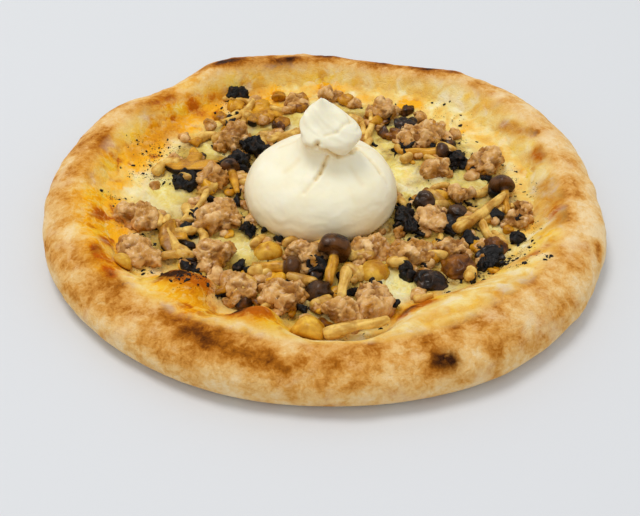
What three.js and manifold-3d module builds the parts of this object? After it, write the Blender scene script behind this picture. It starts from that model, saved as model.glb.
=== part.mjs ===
// A white pizza: a puffed dough base with a wide rim, a sheet of melted cheese, chunks of crumbled
// sausage, small long-stemmed mushrooms, blackened mushroom shreds and a whole tied burrata on top.
// Millimetres, +Z up. The origin is the middle of the flat underside, and -Y is the eater's side.
import * as THREE from "three";
import Module from "manifold-3d";
import { mergeVertices } from "three/addons/utils/BufferGeometryUtils.js";

const wasm = await Module();
wasm.setup();

// ---- Driving dimensions ----
const BASE_THICKNESS = 5; // dough under the middle
const FLOOR_LIFT = 1.5; // the dough floor rises this much towards the rim
const WIDEST_HEIGHT = 9.5; // where the rim bulges out furthest
const UNDERCUT = 9; // from the widest line in to where the dough leaves the table
const CREST_INSET = 19; // from the widest line in to the top of the rim
const CHEESE_THICKNESS = 3;
const CHEESE_EDGE = 0.9; // where the cheese ends on the rim
const GAP = 0.3; // between any two pieces
const SUNK = 0.3; // share of a topping's height that lies in the cheese
const SCRAP_DEPTH = 1; // how far the small black scraps reach down into the cheese

const SEGMENTS = 70; // round the dough and the cheese
const NEAR_CROWDING = 0.3; // how much closer the segments lie on the near side, where the blisters are
const FLOOR_RINGS = [0.42, 0.65, 0.85, 1]; // shares of the well's radius; the burrata is inside the first
const OUTSIDE_RINGS = 6;
const CUTTER_FLOOR = -20; // the cutters reach down to here

const { degToRad, euclideanModulo, lerp, smoothstep } = THREE.MathUtils;

// ---- Unevenness ----

// Seeded random numbers from 0 to 1.
function randomFrom(seed) {
  let state = seed;
  return () => {
    state = (Math.imul(state, 1664525) + 1013904223) >>> 0;
    return state / 2 ** 32;
  };
}

// A smooth closed curve of values round the pizza, through [degrees, value] knots in rising order.
function around(knots) {
  return (angle) => {
    const turn = euclideanModulo(THREE.MathUtils.radToDeg(angle), 360);
    const after = knots.findIndex(([at]) => at > turn);
    const [endAt, endValue] = knots[Math.max(after, 0)];
    const [startAt, startValue] = knots.at(Math.max(after, 0) - 1);
    const span = euclideanModulo(endAt - startAt, 360);
    const share = euclideanModulo(turn - startAt, 360) / span;
    return lerp(startValue, endValue, smoothstep(share, 0, 1));
  };
}

// Low waves over the floor, from -1 to 1.
function waves(x, y) {
  const long = Math.sin(x / 13 + 0.4) * Math.cos(y / 11 - 1.1);
  const short = Math.sin(x / 6.1 - y / 8.3 + 2.0);
  return 0.65 * long + 0.35 * short;
}

// ---- The rim, angle by angle: 0 is +X, 90 is away from the eater, 270 is nearest ----
const outerRadius = around([
  [0, 149], [22, 153], [45, 154.5], [72, 149.5], [100, 152.5], [118, 155.5], [132, 150],
  [152, 154.5], [185, 152], [250, 148.5], [270, 148], [308, 152.5], [340, 151.5],
]);
const crestHeight = around([
  [0, 23], [30, 24.5], [50, 27], [72, 21.5], [95, 25], [118, 28], [133, 21.5], [155, 24.5],
  [200, 24], [225, 21], [250, 24], [285, 22.5], [310, 25], [335, 23],
]);
// The foot of the inner wall. Toasted bubbles of dough push it in at 231, 254 and 293 degrees.
const wellEdge = around([
  [0, 110], [15, 113], [60, 113], [112, 116], [150, 112], [185, 108], [211, 115], [218, 110],
  [226, 94], [233, 90], [241, 106], [246, 104], [254, 91], [263, 109], [278, 113], [286, 106],
  [294, 94], [305, 96], [324, 102], [345, 109],
]);
// How the inner wall drops from the crest: 0.5 late and steeply, 1 in a quarter round, 2 in an S.
const wallShape = around([
  [0, 1.3], [90, 1.8], [180, 1.5], [212, 0.8], [231, 0.5], [243, 0.7], [254, 0.45], [270, 0.8],
  [292, 0.5], [320, 0.8],
]);
// How far the cheese climbs the wall, as a share of it.
const cheeseClimb = around([
  [0, 0.3], [60, 0.55], [120, 0.5], [180, 0.62], [210, 0.45], [226, 0.15], [233, 0.15],
  [243, 0.4], [254, 0.12], [270, 0.2], [293, 0.1], [305, 0.2], [330, 0.3],
]);

// Blisters on the dough: [x, y, radius, rise].
const BLISTERS = [
  [-66, -80, 11, 3],
  [-31, -98, 11, 4],
  [41, -92, 11, 3],
  [-110, -55, 10, 3],
  [-104, 72, 13, 3],
  [108, 66, 13, 2.5],
  [121, -30, 14, 1.5],
  [82, -98, 15, 1.5],
];

function blisterRise(x, y) {
  return BLISTERS.reduce((sum, [cx, cy, radius, rise]) => {
    const share = Math.hypot(x - cx, y - cy) / radius;
    return sum + rise * Math.exp(-share * share);
  }, 0);
}

function floorHeight(radius, angle) {
  const share = radius / wellEdge(angle);
  return BASE_THICKNESS + FLOOR_LIFT * share * share;
}

// The dough's upper face between the middle and the crest.
function doughTop(radius, angle) {
  const edge = wellEdge(angle);
  const x = radius * Math.cos(angle);
  const y = radius * Math.sin(angle);
  if (radius <= edge) return floorHeight(radius, angle);
  const crest = outerRadius(angle) - CREST_INSET;
  const down = (crest - radius) / (crest - edge); // 0 at the crest, 1 at the foot of the wall
  const foot = floorHeight(edge, angle);
  const wall = Math.cos((Math.PI / 2) * Math.min(down, 1)) ** wallShape(angle);
  const held = smoothstep(1 - down, 0, 0.35); // no blister at the foot
  return foot + (crestHeight(angle) - foot) * wall + held * blisterRise(x, y);
}

// The cheese's upper face, thick in the middle and thin where it ends on the wall.
function cheeseTop(radius, angle) {
  const edge = wellEdge(angle);
  const crest = outerRadius(angle) - CREST_INSET;
  const limit = lerp(edge, crest, cheeseClimb(angle));
  const thin = smoothstep(radius, edge * 0.85, limit);
  const bump = waves(radius * Math.cos(angle), radius * Math.sin(angle));
  const thickness = lerp(CHEESE_THICKNESS + bump, CHEESE_EDGE, thin);
  return doughTop(radius, angle) + thickness;
}

// The height of what a topping at x, y lies on.
function groundAt(x, y) {
  return cheeseTop(Math.hypot(x, y), Math.atan2(y, x));
}

// ---- Skins of revolution with an uneven outline ----

// A closed skin through rings, each a function of the angle that gives [radius, height].
// It starts and ends on the axis, and the rings run outwards underneath and inwards on top.
// Each face is split from its inner ring to the next point of its outer ring, so that two skins
// through the same rings fit each other face to face.
function revolve(rings, bottom, top) {
  const positions = [0, 0, bottom];
  for (const ring of rings) {
    for (let i = 0; i < SEGMENTS; i += 1) {
      const turn = (i / SEGMENTS) * 2 * Math.PI;
      const angle = turn - NEAR_CROWDING * Math.cos(turn);
      const [radius, height] = ring(angle);
      positions.push(radius * Math.cos(angle), radius * Math.sin(angle), height);
    }
  }
  positions.push(0, 0, top);
  const last = positions.length / 3 - 1;
  const at = (ring, i) => 1 + ring * SEGMENTS + (i % SEGMENTS);
  const index = [];
  for (let i = 0; i < SEGMENTS; i += 1) {
    index.push(0, at(0, i + 1), at(0, i));
    for (let ring = 0; ring + 1 < rings.length; ring += 1) {
      const [a, b, c, d] = [at(ring, i), at(ring, i + 1), at(ring + 1, i + 1), at(ring + 1, i)];
      const outwards = rings[ring + 1](0)[0] > rings[ring](0)[0];
      index.push(...(outwards ? [a, b, c, a, c, d] : [a, b, d, b, c, d]));
    }
    index.push(last, at(rings.length - 1, i), at(rings.length - 1, i + 1));
  }
  return new THREE.BufferGeometry()
    .setAttribute("position", new THREE.Float32BufferAttribute(positions, 3))
    .setIndex(index);
}

// Radii of the rings shared by the dough, the cheese and the cutter, from the middle outwards.
const floorRadii = FLOOR_RINGS.map((share) => (angle) => share * wellEdge(angle));
const wallRadius = (share) => (angle) =>
  lerp(wellEdge(angle), outerRadius(angle) - CREST_INSET, share(angle));
const climbRadii = [
  wallRadius((angle) => cheeseClimb(angle) / 2),
  wallRadius(cheeseClimb),
];
const bareRadii = [
  wallRadius((angle) => lerp(cheeseClimb(angle), 1, 0.4)),
  wallRadius((angle) => lerp(cheeseClimb(angle), 1, 0.75)),
];
const cheeseRadii = [...floorRadii, ...climbRadii];

// A ring on a face: the radius it runs at, and that face's height there.
const ringOn = (face, lift = 0) => (radiusAt) => (angle) => {
  const radius = radiusAt(angle);
  return [radius, face(radius, angle) + lift];
};

function dough() {
  // From where the dough leaves the table, out round the widest line and up to the crest.
  const outside = [];
  for (let i = 0; i <= OUTSIDE_RINGS; i += 1) {
    const tilt = lerp(-Math.PI / 2, Math.PI / 2, i / OUTSIDE_RINGS);
    outside.push((angle) => {
      const radius = outerRadius(angle);
      if (tilt < 0) {
        return [radius - UNDERCUT * (1 - Math.cos(tilt)), WIDEST_HEIGHT * (1 + Math.sin(tilt))];
      }
      const crest = radius - CREST_INSET;
      const height = lerp(WIDEST_HEIGHT, doughTop(crest, angle), Math.sin(tilt));
      return [lerp(crest, radius, Math.cos(tilt)), height];
    });
  }
  const inside = [...floorRadii, ...climbRadii, ...bareRadii].reverse().map(ringOn(doughTop));
  return revolve([...outside, ...inside], 0, doughTop(0, 0));
}

function cheese() {
  const under = cheeseRadii.map(ringOn(doughTop, GAP));
  const over = [...cheeseRadii].reverse().map(ringOn(cheeseTop));
  return revolve([...under, ...over], doughTop(0, 0) + GAP, cheeseTop(0, 0));
}

// Everything up to a gap above the cheese and the bare wall.
function groundCutter() {
  const crest = (angle) => outerRadius(angle) - CREST_INSET;
  const bare = [...bareRadii, crest].reverse().map(ringOn(doughTop, GAP));
  const covered = [...cheeseRadii].reverse().map(ringOn(cheeseTop, GAP));
  const deep = (angle) => [crest(angle), CUTTER_FLOOR];
  return revolve([deep, ...bare, ...covered], CUTTER_FLOOR, cheeseTop(0, 0) + GAP);
}

// ---- Single toppings, each made round the origin ----

const KNOBS = 9; // on each lump
const KNOB_TIGHTNESS = 5; // how quickly a knob falls away round its top
const LUMP_CORE = 0.93; // a lump's size between its knobs
const SQUARENESS = 0.8; // 1 is round, less is squarer

// A chunk of that length, width and height, along X, Y and Z: a ball squared off a little, with
// wide knobs and dents, and every point of it pushed in or out by so much.
function lump([length, width, height], seed, detail, knobDepth, crumble) {
  const random = randomFrom(seed);
  const knobs = Array.from({ length: KNOBS }, () => ({
    at: new THREE.Vector3(random() - 0.5, random() - 0.5, random() - 0.5).normalize(),
    push: (random() - 0.4) * knobDepth,
  }));
  const knobAt = ({ at, push }, point) =>
    push * Math.exp(-KNOB_TIGHTNESS * at.distanceToSquared(point));
  const size = new THREE.Vector3(length / 2, width / 2, height / 2);
  const squared = (value) => Math.sign(value) * Math.abs(value) ** SQUARENESS;
  return reshape(bare(new THREE.OctahedronGeometry(1, detail)), (point) => {
    const swell = knobs.reduce((sum, knob) => sum + knobAt(knob, point), LUMP_CORE);
    point.set(squared(point.x), squared(point.y), squared(point.z));
    point.multiply(size).multiplyScalar(swell + (random() - 0.5) * crumble);
  });
}

// A turned shape from a profile of [radius, height], bent sideways by so much at its far end.
function turned(profile, segments, bend = 0) {
  const points = profile.map(([radius, height]) => new THREE.Vector2(radius, height));
  const geometry = bare(new THREE.LatheGeometry(points, segments));
  const length = profile.at(-1)[1];
  geometry.rotateX(Math.PI / 2); // the lathe turns about Y
  return reshape(geometry, (point) => {
    const share = point.z / length;
    point.x += bend * 4 * share * (1 - share);
  });
}

const stemProfile = (length, foot, head) => [
  [0, 0], [foot * 0.85, 0.3], [foot, length * 0.12], [lerp(foot, head, 0.5) * 0.9, length * 0.5],
  [head, length * 0.86], [head * 0.8, length - 0.3], [0, length],
];
const capProfile = (radius, height) => [
  [0, height * 0.25], [radius * 0.62, height * 0.1], [radius * 0.93, 0], [radius, height * 0.3],
  [radius * 0.86, height * 0.66], [radius * 0.5, height * 0.93], [0, height],
];
const mushroomProfile = (length, foot, head, radius, height) => [
  [0, 0], [foot * 0.85, 0.3], [foot, length * 0.15], [head, length * 0.7],
  [head, length], [radius * 0.9, length - height * 0.12], [radius, length + height * 0.25],
  [radius * 0.84, length + height * 0.64], [radius * 0.48, length + height * 0.93],
  [0, length + height],
];

// Half of a mushroom cut lengthways, lying flat: a wide cap with a short stem, so thick.
function slice([length, width], thickness) {
  const cap = new THREE.Shape()
    .moveTo(-length * 0.5, -width * 0.05)
    .quadraticCurveTo(-length * 0.46, width * 0.5, 0, width * 0.5)
    .quadraticCurveTo(length * 0.46, width * 0.5, length * 0.5, -width * 0.05)
    .quadraticCurveTo(length * 0.34, -width * 0.2, length * 0.14, -width * 0.12)
    .lineTo(length * 0.12, -width * 0.5)
    .lineTo(-length * 0.12, -width * 0.5)
    .lineTo(-length * 0.14, -width * 0.12)
    .quadraticCurveTo(-length * 0.34, -width * 0.2, -length * 0.5, -width * 0.05);
  const bevel = thickness * 0.25;
  const geometry = new THREE.ExtrudeGeometry(cap, {
    depth: thickness - 2 * bevel, bevelThickness: bevel, bevelSize: bevel, bevelOffset: -bevel,
    bevelSegments: 1, curveSegments: 3,
  });
  return bare(geometry.translate(0, 0, bevel - thickness / 2));
}

// ---- The burrata: a sagging pouch, pleated up to its neck, with its folded top-knot ----
const BURRATA_AT = [-2.5, -2];
const BURRATA_SUNK = 1; // how far its base lies in the cheese
const BURRATA_SIDES = 27;
const PLEATS = 9;
const PLEAT_DEPTH = 1;
const NECK_HEIGHT = 36.5;
const KNOT_HEIGHT = 46; // where the knot is widest
const TIP_HEIGHT = 63;
const KNOT_SHIFT = [4.5, -3]; // the knot hangs to the right and forwards of the neck
const TIP_SHIFT = [0.5, 4];
const BURRATA_PROFILE = [
  [0, 0], [37.5, 0.4], [40.6, 3.5], [41.3, 9], [40, 15], [36.8, 21.5], [31, 27.5], [23.5, 32.2],
  [16.5, 35], [12.5, NECK_HEIGHT], [14.3, 41], [15.4, KNOT_HEIGHT], [14.7, 51.5], [11.6, 56.5],
  [6.5, 60.5], [0, TIP_HEIGHT],
];

function burrata() {
  const [x, y] = BURRATA_AT;
  const pouch = reshape(turned(BURRATA_PROFILE, BURRATA_SIDES), (point) => {
    const angle = Math.atan2(point.y, point.x);
    const radius = Math.hypot(point.x, point.y);
    const up = smoothstep(point.z, 15, NECK_HEIGHT);
    const knot = smoothstep(point.z, NECK_HEIGHT, KNOT_HEIGHT);
    const tip = smoothstep(point.z, KNOT_HEIGHT, TIP_HEIGHT);
    const pleat = Math.cos(PLEATS * angle + 0.8) * PLEAT_DEPTH * up * (1 - knot);
    const fold = Math.cos(3 * angle + point.z / 7) * 1.2 * knot; // the knot is a twisted roll
    const sag = 1 + 0.015 * Math.cos(2 * angle + 0.5);
    const wide = radius * sag + (pleat + fold) * Math.min(radius / 8, 1);
    point.x = wide * Math.cos(angle) + knot * lerp(KNOT_SHIFT[0], TIP_SHIFT[0], tip);
    point.y = wide * Math.sin(angle) + knot * lerp(KNOT_SHIFT[1], TIP_SHIFT[1], tip);
  });
  return pouch.translate(x, y, groundAt(x, y) - BURRATA_SUNK);
}

// ---- Geometry and solids ----

// Only positions, with shared vertices merged, as the solids need.
function bare(geometry) {
  const only = new THREE.BufferGeometry().setAttribute("position", geometry.getAttribute("position"));
  if (geometry.index) only.setIndex(geometry.index);
  const merged = mergeVertices(only, 1e-4);
  const kept = [];
  const index = merged.index.array;
  for (let i = 0; i < index.length; i += 3) {
    const [a, b, c] = [index[i], index[i + 1], index[i + 2]];
    if (a !== b && b !== c && c !== a) kept.push(a, b, c);
  }
  return merged.setIndex(kept);
}

// Moves every vertex by a function that changes the point it is given.
function reshape(geometry, change) {
  const positions = geometry.getAttribute("position");
  const point = new THREE.Vector3();
  for (let i = 0; i < positions.count; i += 1) {
    change(point.fromBufferAttribute(positions, i));
    positions.setXYZ(i, point.x, point.y, point.z);
  }
  return geometry;
}

// The same shape with its skin pushed out.
function grown(geometry, by) {
  const wider = geometry.clone();
  wider.computeVertexNormals();
  const normals = wider.getAttribute("normal");
  const positions = wider.getAttribute("position");
  for (let i = 0; i < positions.count; i += 1) {
    positions.setXYZ(
      i,
      positions.getX(i) + by * normals.getX(i),
      positions.getY(i) + by * normals.getY(i),
      positions.getZ(i) + by * normals.getZ(i),
    );
  }
  return wider;
}

function solidOf(geometry) {
  return new wasm.Manifold(
    new wasm.Mesh({
      numProp: 3,
      vertProperties: new Float32Array(geometry.getAttribute("position").array),
      triVerts: new Uint32Array(geometry.index.array),
    }),
  );
}

function geometryOf(solid) {
  const mesh = solid.getMesh();
  return new THREE.BufferGeometry()
    .setAttribute("position", new THREE.BufferAttribute(new Float32Array(mesh.vertProperties), 3))
    .setIndex(new THREE.BufferAttribute(new Uint32Array(mesh.triVerts), 1));
}

const largestOf = (solid) =>
  solid.decompose().reduce((most, each) => (each.volume() > most.volume() ? each : most));

// ---- Laying the toppings ----
const STEM_SIDES = 6;
const CAP_SIDES = 8;

// A piece of that size at x, y, sunk a little into the cheese and raised by lift.
function laid(geometry, { at: [x, y], turn = 0, lean = 0, lift = 0 }, height) {
  const z = groundAt(x, y) + height * (0.5 - SUNK) + lift;
  return geometry.rotateY(degToRad(lean)).rotateZ(degToRad(turn)).translate(x, y, z);
}

// A stem or whole mushroom from its foot to its head, each [x, y, height above the cheese].
function strung(geometry, foot, head) {
  const start = new THREE.Vector3(foot[0], foot[1], groundAt(foot[0], foot[1]) + foot[2]);
  const end = new THREE.Vector3(head[0], head[1], groundAt(head[0], head[1]) + head[2]);
  const along = end.clone().sub(start).normalize();
  const turn = new THREE.Quaternion().setFromUnitVectors(new THREE.Vector3(0, 0, 1), along);
  return geometry.applyQuaternion(turn).translate(start.x, start.y, start.z);
}

const spanOf = (foot, head) => Math.hypot(head[0] - foot[0], head[1] - foot[1]);

function sausage({ size, ...place }, i) {
  return laid(lump(size, 11 + i, 3, 0.75, 0.16), place, size[2]);
}

function shred({ size, ...place }, i) {
  return laid(lump(size, 211 + i, 2, 1, 0.3), place, size[2]);
}

function scrap({ size, ...place }, i) {
  return laid(lump(size, 311 + i, 1, 1, 0.3), place, size[2]);
}

function cap({ size: [across, height], ...place }) {
  const profile = capProfile(across / 2, height);
  return laid(turned(profile, CAP_SIDES).translate(0, 0, -height / 2), place, height);
}

function sliced({ size, thickness, ...place }) {
  return laid(slice(size, thickness), place, thickness * 2);
}

function stem({ foot, head, thick: [footWidth, headWidth], bend }) {
  const profile = stemProfile(spanOf(foot, head), footWidth / 2, headWidth / 2);
  return strung(turned(profile, STEM_SIDES, bend), foot, head);
}

function mushroom({ foot, head, thick: [footWidth, headWidth], capSize: [across, height], bend }) {
  const length = spanOf(foot, head);
  const profile = mushroomProfile(length, footWidth / 2, headWidth / 2, across / 2, height);
  return strung(turned(profile, CAP_SIDES, bend), foot, head);
}

// The toppings in the order they were dropped on, so that a later one lies over the earlier.
// Positions are millimetres from the middle, sizes are length, width and height.
const SCRAPS = [
  { at: [-40, -28], size: [9, 8, 6], turn: 30 },
  { at: [-71, -31], size: [6, 9, 6] },
  { at: [76, 36], size: [8, 13, 9], turn: 10 },
  { at: [48, 52], size: [17, 7, 6], turn: -5 },
  { at: [40, -63], size: [14, 5, 5], turn: 10 },
  { at: [99, -36], size: [7, 7, 5] },
  { at: [32, -86], size: [6, 6, 5] },
  { at: [-68, -60], size: [7, 6, 5] },
];

const SHREDS = [
  { at: [-55, 107], size: [15, 11, 10], turn: 10 },
  { at: [-40, 47], size: [18, 12, 11], turn: -20 },
  { at: [-49, 33], size: [13, 14, 11], turn: 30 },
  { at: [-75, 14], size: [16, 13, 8], turn: 10 },
  { at: [44, -21], size: [10, 25, 9], turn: 8 },
  { at: [82, -58], size: [21, 8, 7], turn: 20 },
];

const SLICES = [
  { at: [-76, 30], size: [34, 20], thickness: 5, turn: 170, lean: 5, lift: 2 },
  { at: [-79, -37], size: [25, 15], thickness: 6, turn: 94, lean: -14 },
  { at: [-41, 82], size: [21, 15], thickness: 6, turn: 80, lean: 14 },
];

const SAUSAGES = [
  { at: [36, 86], size: [14, 17, 18] },
  { at: [58, 60], size: [27, 18, 15], turn: 12 },
  { at: [63, 26], size: [17, 15, 12], turn: 20 },
  { at: [92, 31], size: [20, 19, 16], turn: -20 },
  { at: [74, -1], size: [14, 11, 10], turn: 15, lift: 2 },
  { at: [54, -23], size: [15, 16, 14], turn: 80 },
  { at: [103, -18], size: [16, 13, 12], turn: 45 },
  { at: [44, -50], size: [22, 16, 13], turn: 15 },
  { at: [64, -47], size: [18, 14, 12], turn: 0 },
  { at: [-53, 56], size: [14, 19, 18], turn: 5 },
  { at: [-62, 15], size: [17, 16, 14], turn: -15 },
  { at: [-57, -21], size: [25, 18, 15], turn: 10 },
  { at: [-99, -21], size: [23, 17, 13], turn: -30 },
  { at: [-95, -50], size: [28, 15, 13], turn: -20 },
  { at: [-56, -54], size: [23, 15, 14], turn: 45 },
  { at: [-43, -77], size: [17, 15, 13], turn: -30 },
  { at: [-21, -84], size: [25, 18, 14], turn: -5 },
  { at: [-10, -51], size: [21, 13, 12], turn: -22, lift: 2 },
  { at: [24, -46], size: [21, 15, 13], turn: 25 },
  { at: [23, -84], size: [15, 22, 12], turn: 15 },
  { at: [7, -93], size: [18, 14, 12], turn: -10 },
];

const CAPS = {
  brown_cap: [
    { at: [87, -44], size: [15, 10], turn: 20, lean: 24 },
    { at: [66, -60], size: [20, 10], turn: 10, lean: -14 },
  ],
  dark_cap: [
    { at: [53, -72], size: [17, 9], turn: -60, lean: 24 },
    { at: [-3, -79], size: [15, 12], turn: 30, lean: 18 },
    { at: [54, -6], size: [13, 9], turn: 90, lean: 30, lift: 3 },
    { at: [70, -16], size: [13, 9], turn: 40, lean: -25 },
  ],
  golden_cap: [
    { at: [-8, -106], size: [19, 14], turn: 40, lean: 12 },
    { at: [25, -63], size: [17, 9], turn: 0, lean: 20 },
    { at: [-30, -45], size: [17, 8], turn: 110, lean: 22 },
    { at: [-101, -62], size: [13, 9], turn: 60, lean: 20 },
    { at: [63, 2], size: [13, 8], turn: 70, lean: 20 },
  ],
};

const MUSHROOMS = [
  { foot: [1, -75, 4], head: [4, -55, 8], thick: [4.5, 6], capSize: [19, 10], bend: 0 },
  { foot: [97, -17, 3], head: [96, 2, 6], thick: [4.5, 5], capSize: [15, 8], bend: 1 },
  { foot: [-48, 4, 3], head: [-53, 22, 5], thick: [4.5, 5], capSize: [13, 7], bend: 0 },
  { foot: [43, 44, 3], head: [66, 42, 4], thick: [4, 5], capSize: [11, 6], bend: 1 },
  { foot: [-38, -61, 4], head: [-19, -62, 5], thick: [6.5, 6.5], capSize: [12, 7], bend: 1 },
];

const STEMS = [
  { foot: [67, -34, 6], head: [97, -5, 8], thick: [7, 4.5], bend: 1.2 },
  { foot: [81, -21, 3], head: [101, -9, 4], thick: [7, 6], bend: 1 },
  { foot: [92, -49, 4], head: [81, -24, 5], thick: [4, 6], bend: -1.5 },
  { foot: [6, -92, 7], head: [10, -70, 11], thick: [5, 7], bend: 0.6 },
  { foot: [-1, -111, 5], head: [30, -104, 4], thick: [8, 5], bend: -1 },
  { foot: [-76, -23, 3], head: [-64, 4, 4], thick: [4, 5], bend: 1 },
  { foot: [-69, -56, 4], head: [-83, -22, 7], thick: [5.5, 5], bend: -4 },
  { foot: [-63, 74, 3], head: [-44, 97, 6], thick: [4.5, 5], bend: 4 },
  { foot: [24, 56, 3], head: [28, 88, 4], thick: [5, 4], bend: 2 },
  { foot: [-35, 55, 3], head: [-13, 67, 4], thick: [6, 5.5], bend: 1 },
  { foot: [-19, -68, 5], head: [-4, -76, 6], thick: [5.5, 6.5], bend: 2 },
];

// ---- Assembly ----
const COLOURS = {
  dough: [0xdca66a, 0.85],
  cheese: [0xf0dfa0, 0.45],
  burrata: [0xf5eddc, 0.35],
  sausage: [0xb98058, 0.6],
  mushroom: [0xb98a45, 0.45],
  mushroom_stem: [0xd9b163, 0.45],
  brown_cap: [0x8a5a2a, 0.35],
  dark_cap: [0x3b2a22, 0.35],
  golden_cap: [0xd09a35, 0.4],
  mushroom_slice: [0xc08f48, 0.45],
  black_shred: [0x1d1a1c, 0.6],
};

// What has been laid so far: each solid pushed out by the gap, for cutting the next ones.
const laidDown = [];

// Cuts a topping to lie on the cheese and on the toppings already there.
function settle(geometry, ground) {
  let solid = solidOf(geometry).subtract(ground);
  for (const earlier of laidDown) solid = solid.subtract(earlier);
  laidDown.push(solidOf(grown(geometry, GAP)));
  return geometryOf(largestOf(solid));
}

// The cheese with the small black scraps that are melted into it.
function cheeseWithScraps(ground) {
  const nearSurface = ground.translate(0, 0, -SCRAP_DEPTH);
  let solid = solidOf(cheese());
  SCRAPS.forEach((spec, i) => {
    const piece = scrap(spec, i);
    solid = solid.add(largestOf(solidOf(piece).subtract(nearSurface)));
    laidDown.push(solidOf(grown(piece, GAP)));
  });
  return geometryOf(solid);
}

function whitePizza() {
  const pizza = new THREE.Group();
  const add = (name, kind, geometry) => {
    const [color, roughness] = COLOURS[kind];
    const material = new THREE.MeshStandardMaterial({ color, roughness, metalness: 0 });
    const mesh = new THREE.Mesh(geometry, material);
    mesh.name = name;
    pizza.add(mesh);
  };
  const ground = solidOf(groundCutter());
  const addAll = (kind, specs, make) => {
    specs.forEach((spec, i) => {
      const number = String(i + 1).padStart(2, "0");
      add(`${kind}_${number}`, kind, settle(make(spec, i), ground));
    });
  };
  add("dough", "dough", dough());
  add("cheese", "cheese", cheeseWithScraps(ground));
  add("burrata", "burrata", settle(burrata(), ground));
  addAll("black_shred", SHREDS, shred);
  addAll("mushroom_slice", SLICES, sliced);
  addAll("sausage", SAUSAGES, sausage);
  for (const [kind, specs] of Object.entries(CAPS)) addAll(kind, specs, cap);
  addAll("mushroom", MUSHROOMS, mushroom);
  addAll("mushroom_stem", STEMS, stem);
  return pizza;
}

export default whitePizza();
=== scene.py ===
"""A white pizza: a puffed, browned crust, melted cheese, crumbled sausage, small long-stemmed
mushrooms, blackened shreds and a whole tied burrata. Sizes here are millimetres until a mesh is
made, in the part's own frame: +Z up, the middle of the flat underside at the origin."""
import itertools
import math

import bmesh
import bpy
import numpy as np
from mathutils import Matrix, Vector
from mathutils.bvhtree import BVHTree


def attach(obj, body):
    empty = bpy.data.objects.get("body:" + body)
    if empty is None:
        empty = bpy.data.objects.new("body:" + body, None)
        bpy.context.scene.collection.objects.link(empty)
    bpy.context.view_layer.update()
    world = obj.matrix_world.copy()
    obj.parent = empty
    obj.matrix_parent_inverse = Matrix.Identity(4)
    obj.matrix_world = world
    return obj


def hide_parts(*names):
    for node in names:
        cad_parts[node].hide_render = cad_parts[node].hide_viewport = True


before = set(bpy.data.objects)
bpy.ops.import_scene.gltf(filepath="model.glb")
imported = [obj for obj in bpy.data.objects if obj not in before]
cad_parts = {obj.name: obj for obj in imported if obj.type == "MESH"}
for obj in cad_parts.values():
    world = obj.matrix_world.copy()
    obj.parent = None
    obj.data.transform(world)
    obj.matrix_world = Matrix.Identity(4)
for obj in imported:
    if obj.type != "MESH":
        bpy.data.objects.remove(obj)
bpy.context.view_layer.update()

MM = 0.001
FAR = 200.0  # millimetres, beyond the whole pizza

# ---- Noise ----
NEIGHBOURS = list(itertools.product((-1, 0, 1), repeat=3))
GRADIENTS = np.array([v for v in NEIGHBOURS if sum(map(abs, v)) == 2], float)


def hashed(cell, seed):
    """A repeatable random whole number for each whole-numbered cell."""
    mixed = cell[:, 0] * 374761393 + cell[:, 1] * 668265263 + cell[:, 2] * 1440662683
    mixed = (mixed + seed * 1274126177) & 0xFFFFFFFF
    mixed = ((mixed ^ (mixed >> 13)) * 1274126177) & 0xFFFFFFFF
    return mixed ^ (mixed >> 16)


def noise(points, size, seed):
    """Smooth noise, about -1 to 1, with hills about size apart. The size may differ along X, Y and Z."""
    scaled = points / np.asarray(size, float)
    cell = np.floor(scaled).astype(np.int64)
    part = scaled - cell
    ease = part ** 3 * (part * (part * 6 - 15) + 10)
    total = np.zeros(len(points))
    for corner in itertools.product((0, 1), repeat=3):
        corner = np.array(corner)
        slope = GRADIENTS[hashed(cell + corner, seed) % len(GRADIENTS)]
        weight = np.prod(np.where(corner, ease, 1 - ease), axis=1)
        total += weight * ((part - corner) * slope).sum(1)
    return total * 1.4


def rough(points, size, seed, octaves=3, fade=0.5):
    """Noise in octaves, each half as wide as the one before."""
    size = np.asarray(size, float)
    strengths = [fade ** i for i in range(octaves)]
    layers = [s * noise(points, size / 2 ** i, seed + i) for i, s in enumerate(strengths)]
    return sum(layers) / sum(strengths)


def drift(points, size, seed):
    """Smooth noise along X, Y and Z."""
    return np.stack([noise(points, size, seed + axis) for axis in range(3)], 1)


def ridged(points, size, seed):
    """Noise with sharp ridges, 1 at their tops."""
    return 1 - 2 * np.abs(rough(points, size, seed, 2))


def cells(points, size, seed):
    """Rounded cells about size across: the distance to the nearest middle, in cells, and a random
    number from 0 to 1 for each cell."""
    scaled = points / size
    base = np.floor(scaled).astype(np.int64)
    nearest = np.full(len(points), 9.0)
    chosen = np.zeros(len(points))
    for offset in NEIGHBOURS:
        cell = base + np.array(offset)
        picks = [hashed(cell, seed + i) % 4096 / 4096 for i in range(4)]
        distance = np.linalg.norm(scaled - (cell + np.stack(picks[:3], 1)), axis=1)
        chosen = np.where(distance < nearest, picks[3], chosen)
        nearest = np.minimum(nearest, distance)
    return nearest, chosen


def step(value, low, high):
    """0 below low, 1 above high, and smooth between."""
    share = np.clip((value - low) / (high - low), 0, 1)
    return share * share * (3 - 2 * share)


# ---- Meshes ----
def cad_mesh(*names):
    """The points, in millimetres, and faces of CAD nodes."""
    points, faces, start = [], [], 0
    for name in names:
        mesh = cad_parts[name].data
        co = np.empty(len(mesh.vertices) * 3)
        mesh.vertices.foreach_get("co", co)
        points.append(co.reshape(-1, 3) / MM)
        faces += [[start + i for i in face.vertices] for face in mesh.polygons]
        start += len(mesh.vertices)
    return np.concatenate(points), faces


def tree_of(points, faces):
    return BVHTree.FromPolygons([tuple(p) for p in points], [tuple(f) for f in faces])


def cad_tree(*names):
    return tree_of(*cad_mesh(*names))


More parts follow.
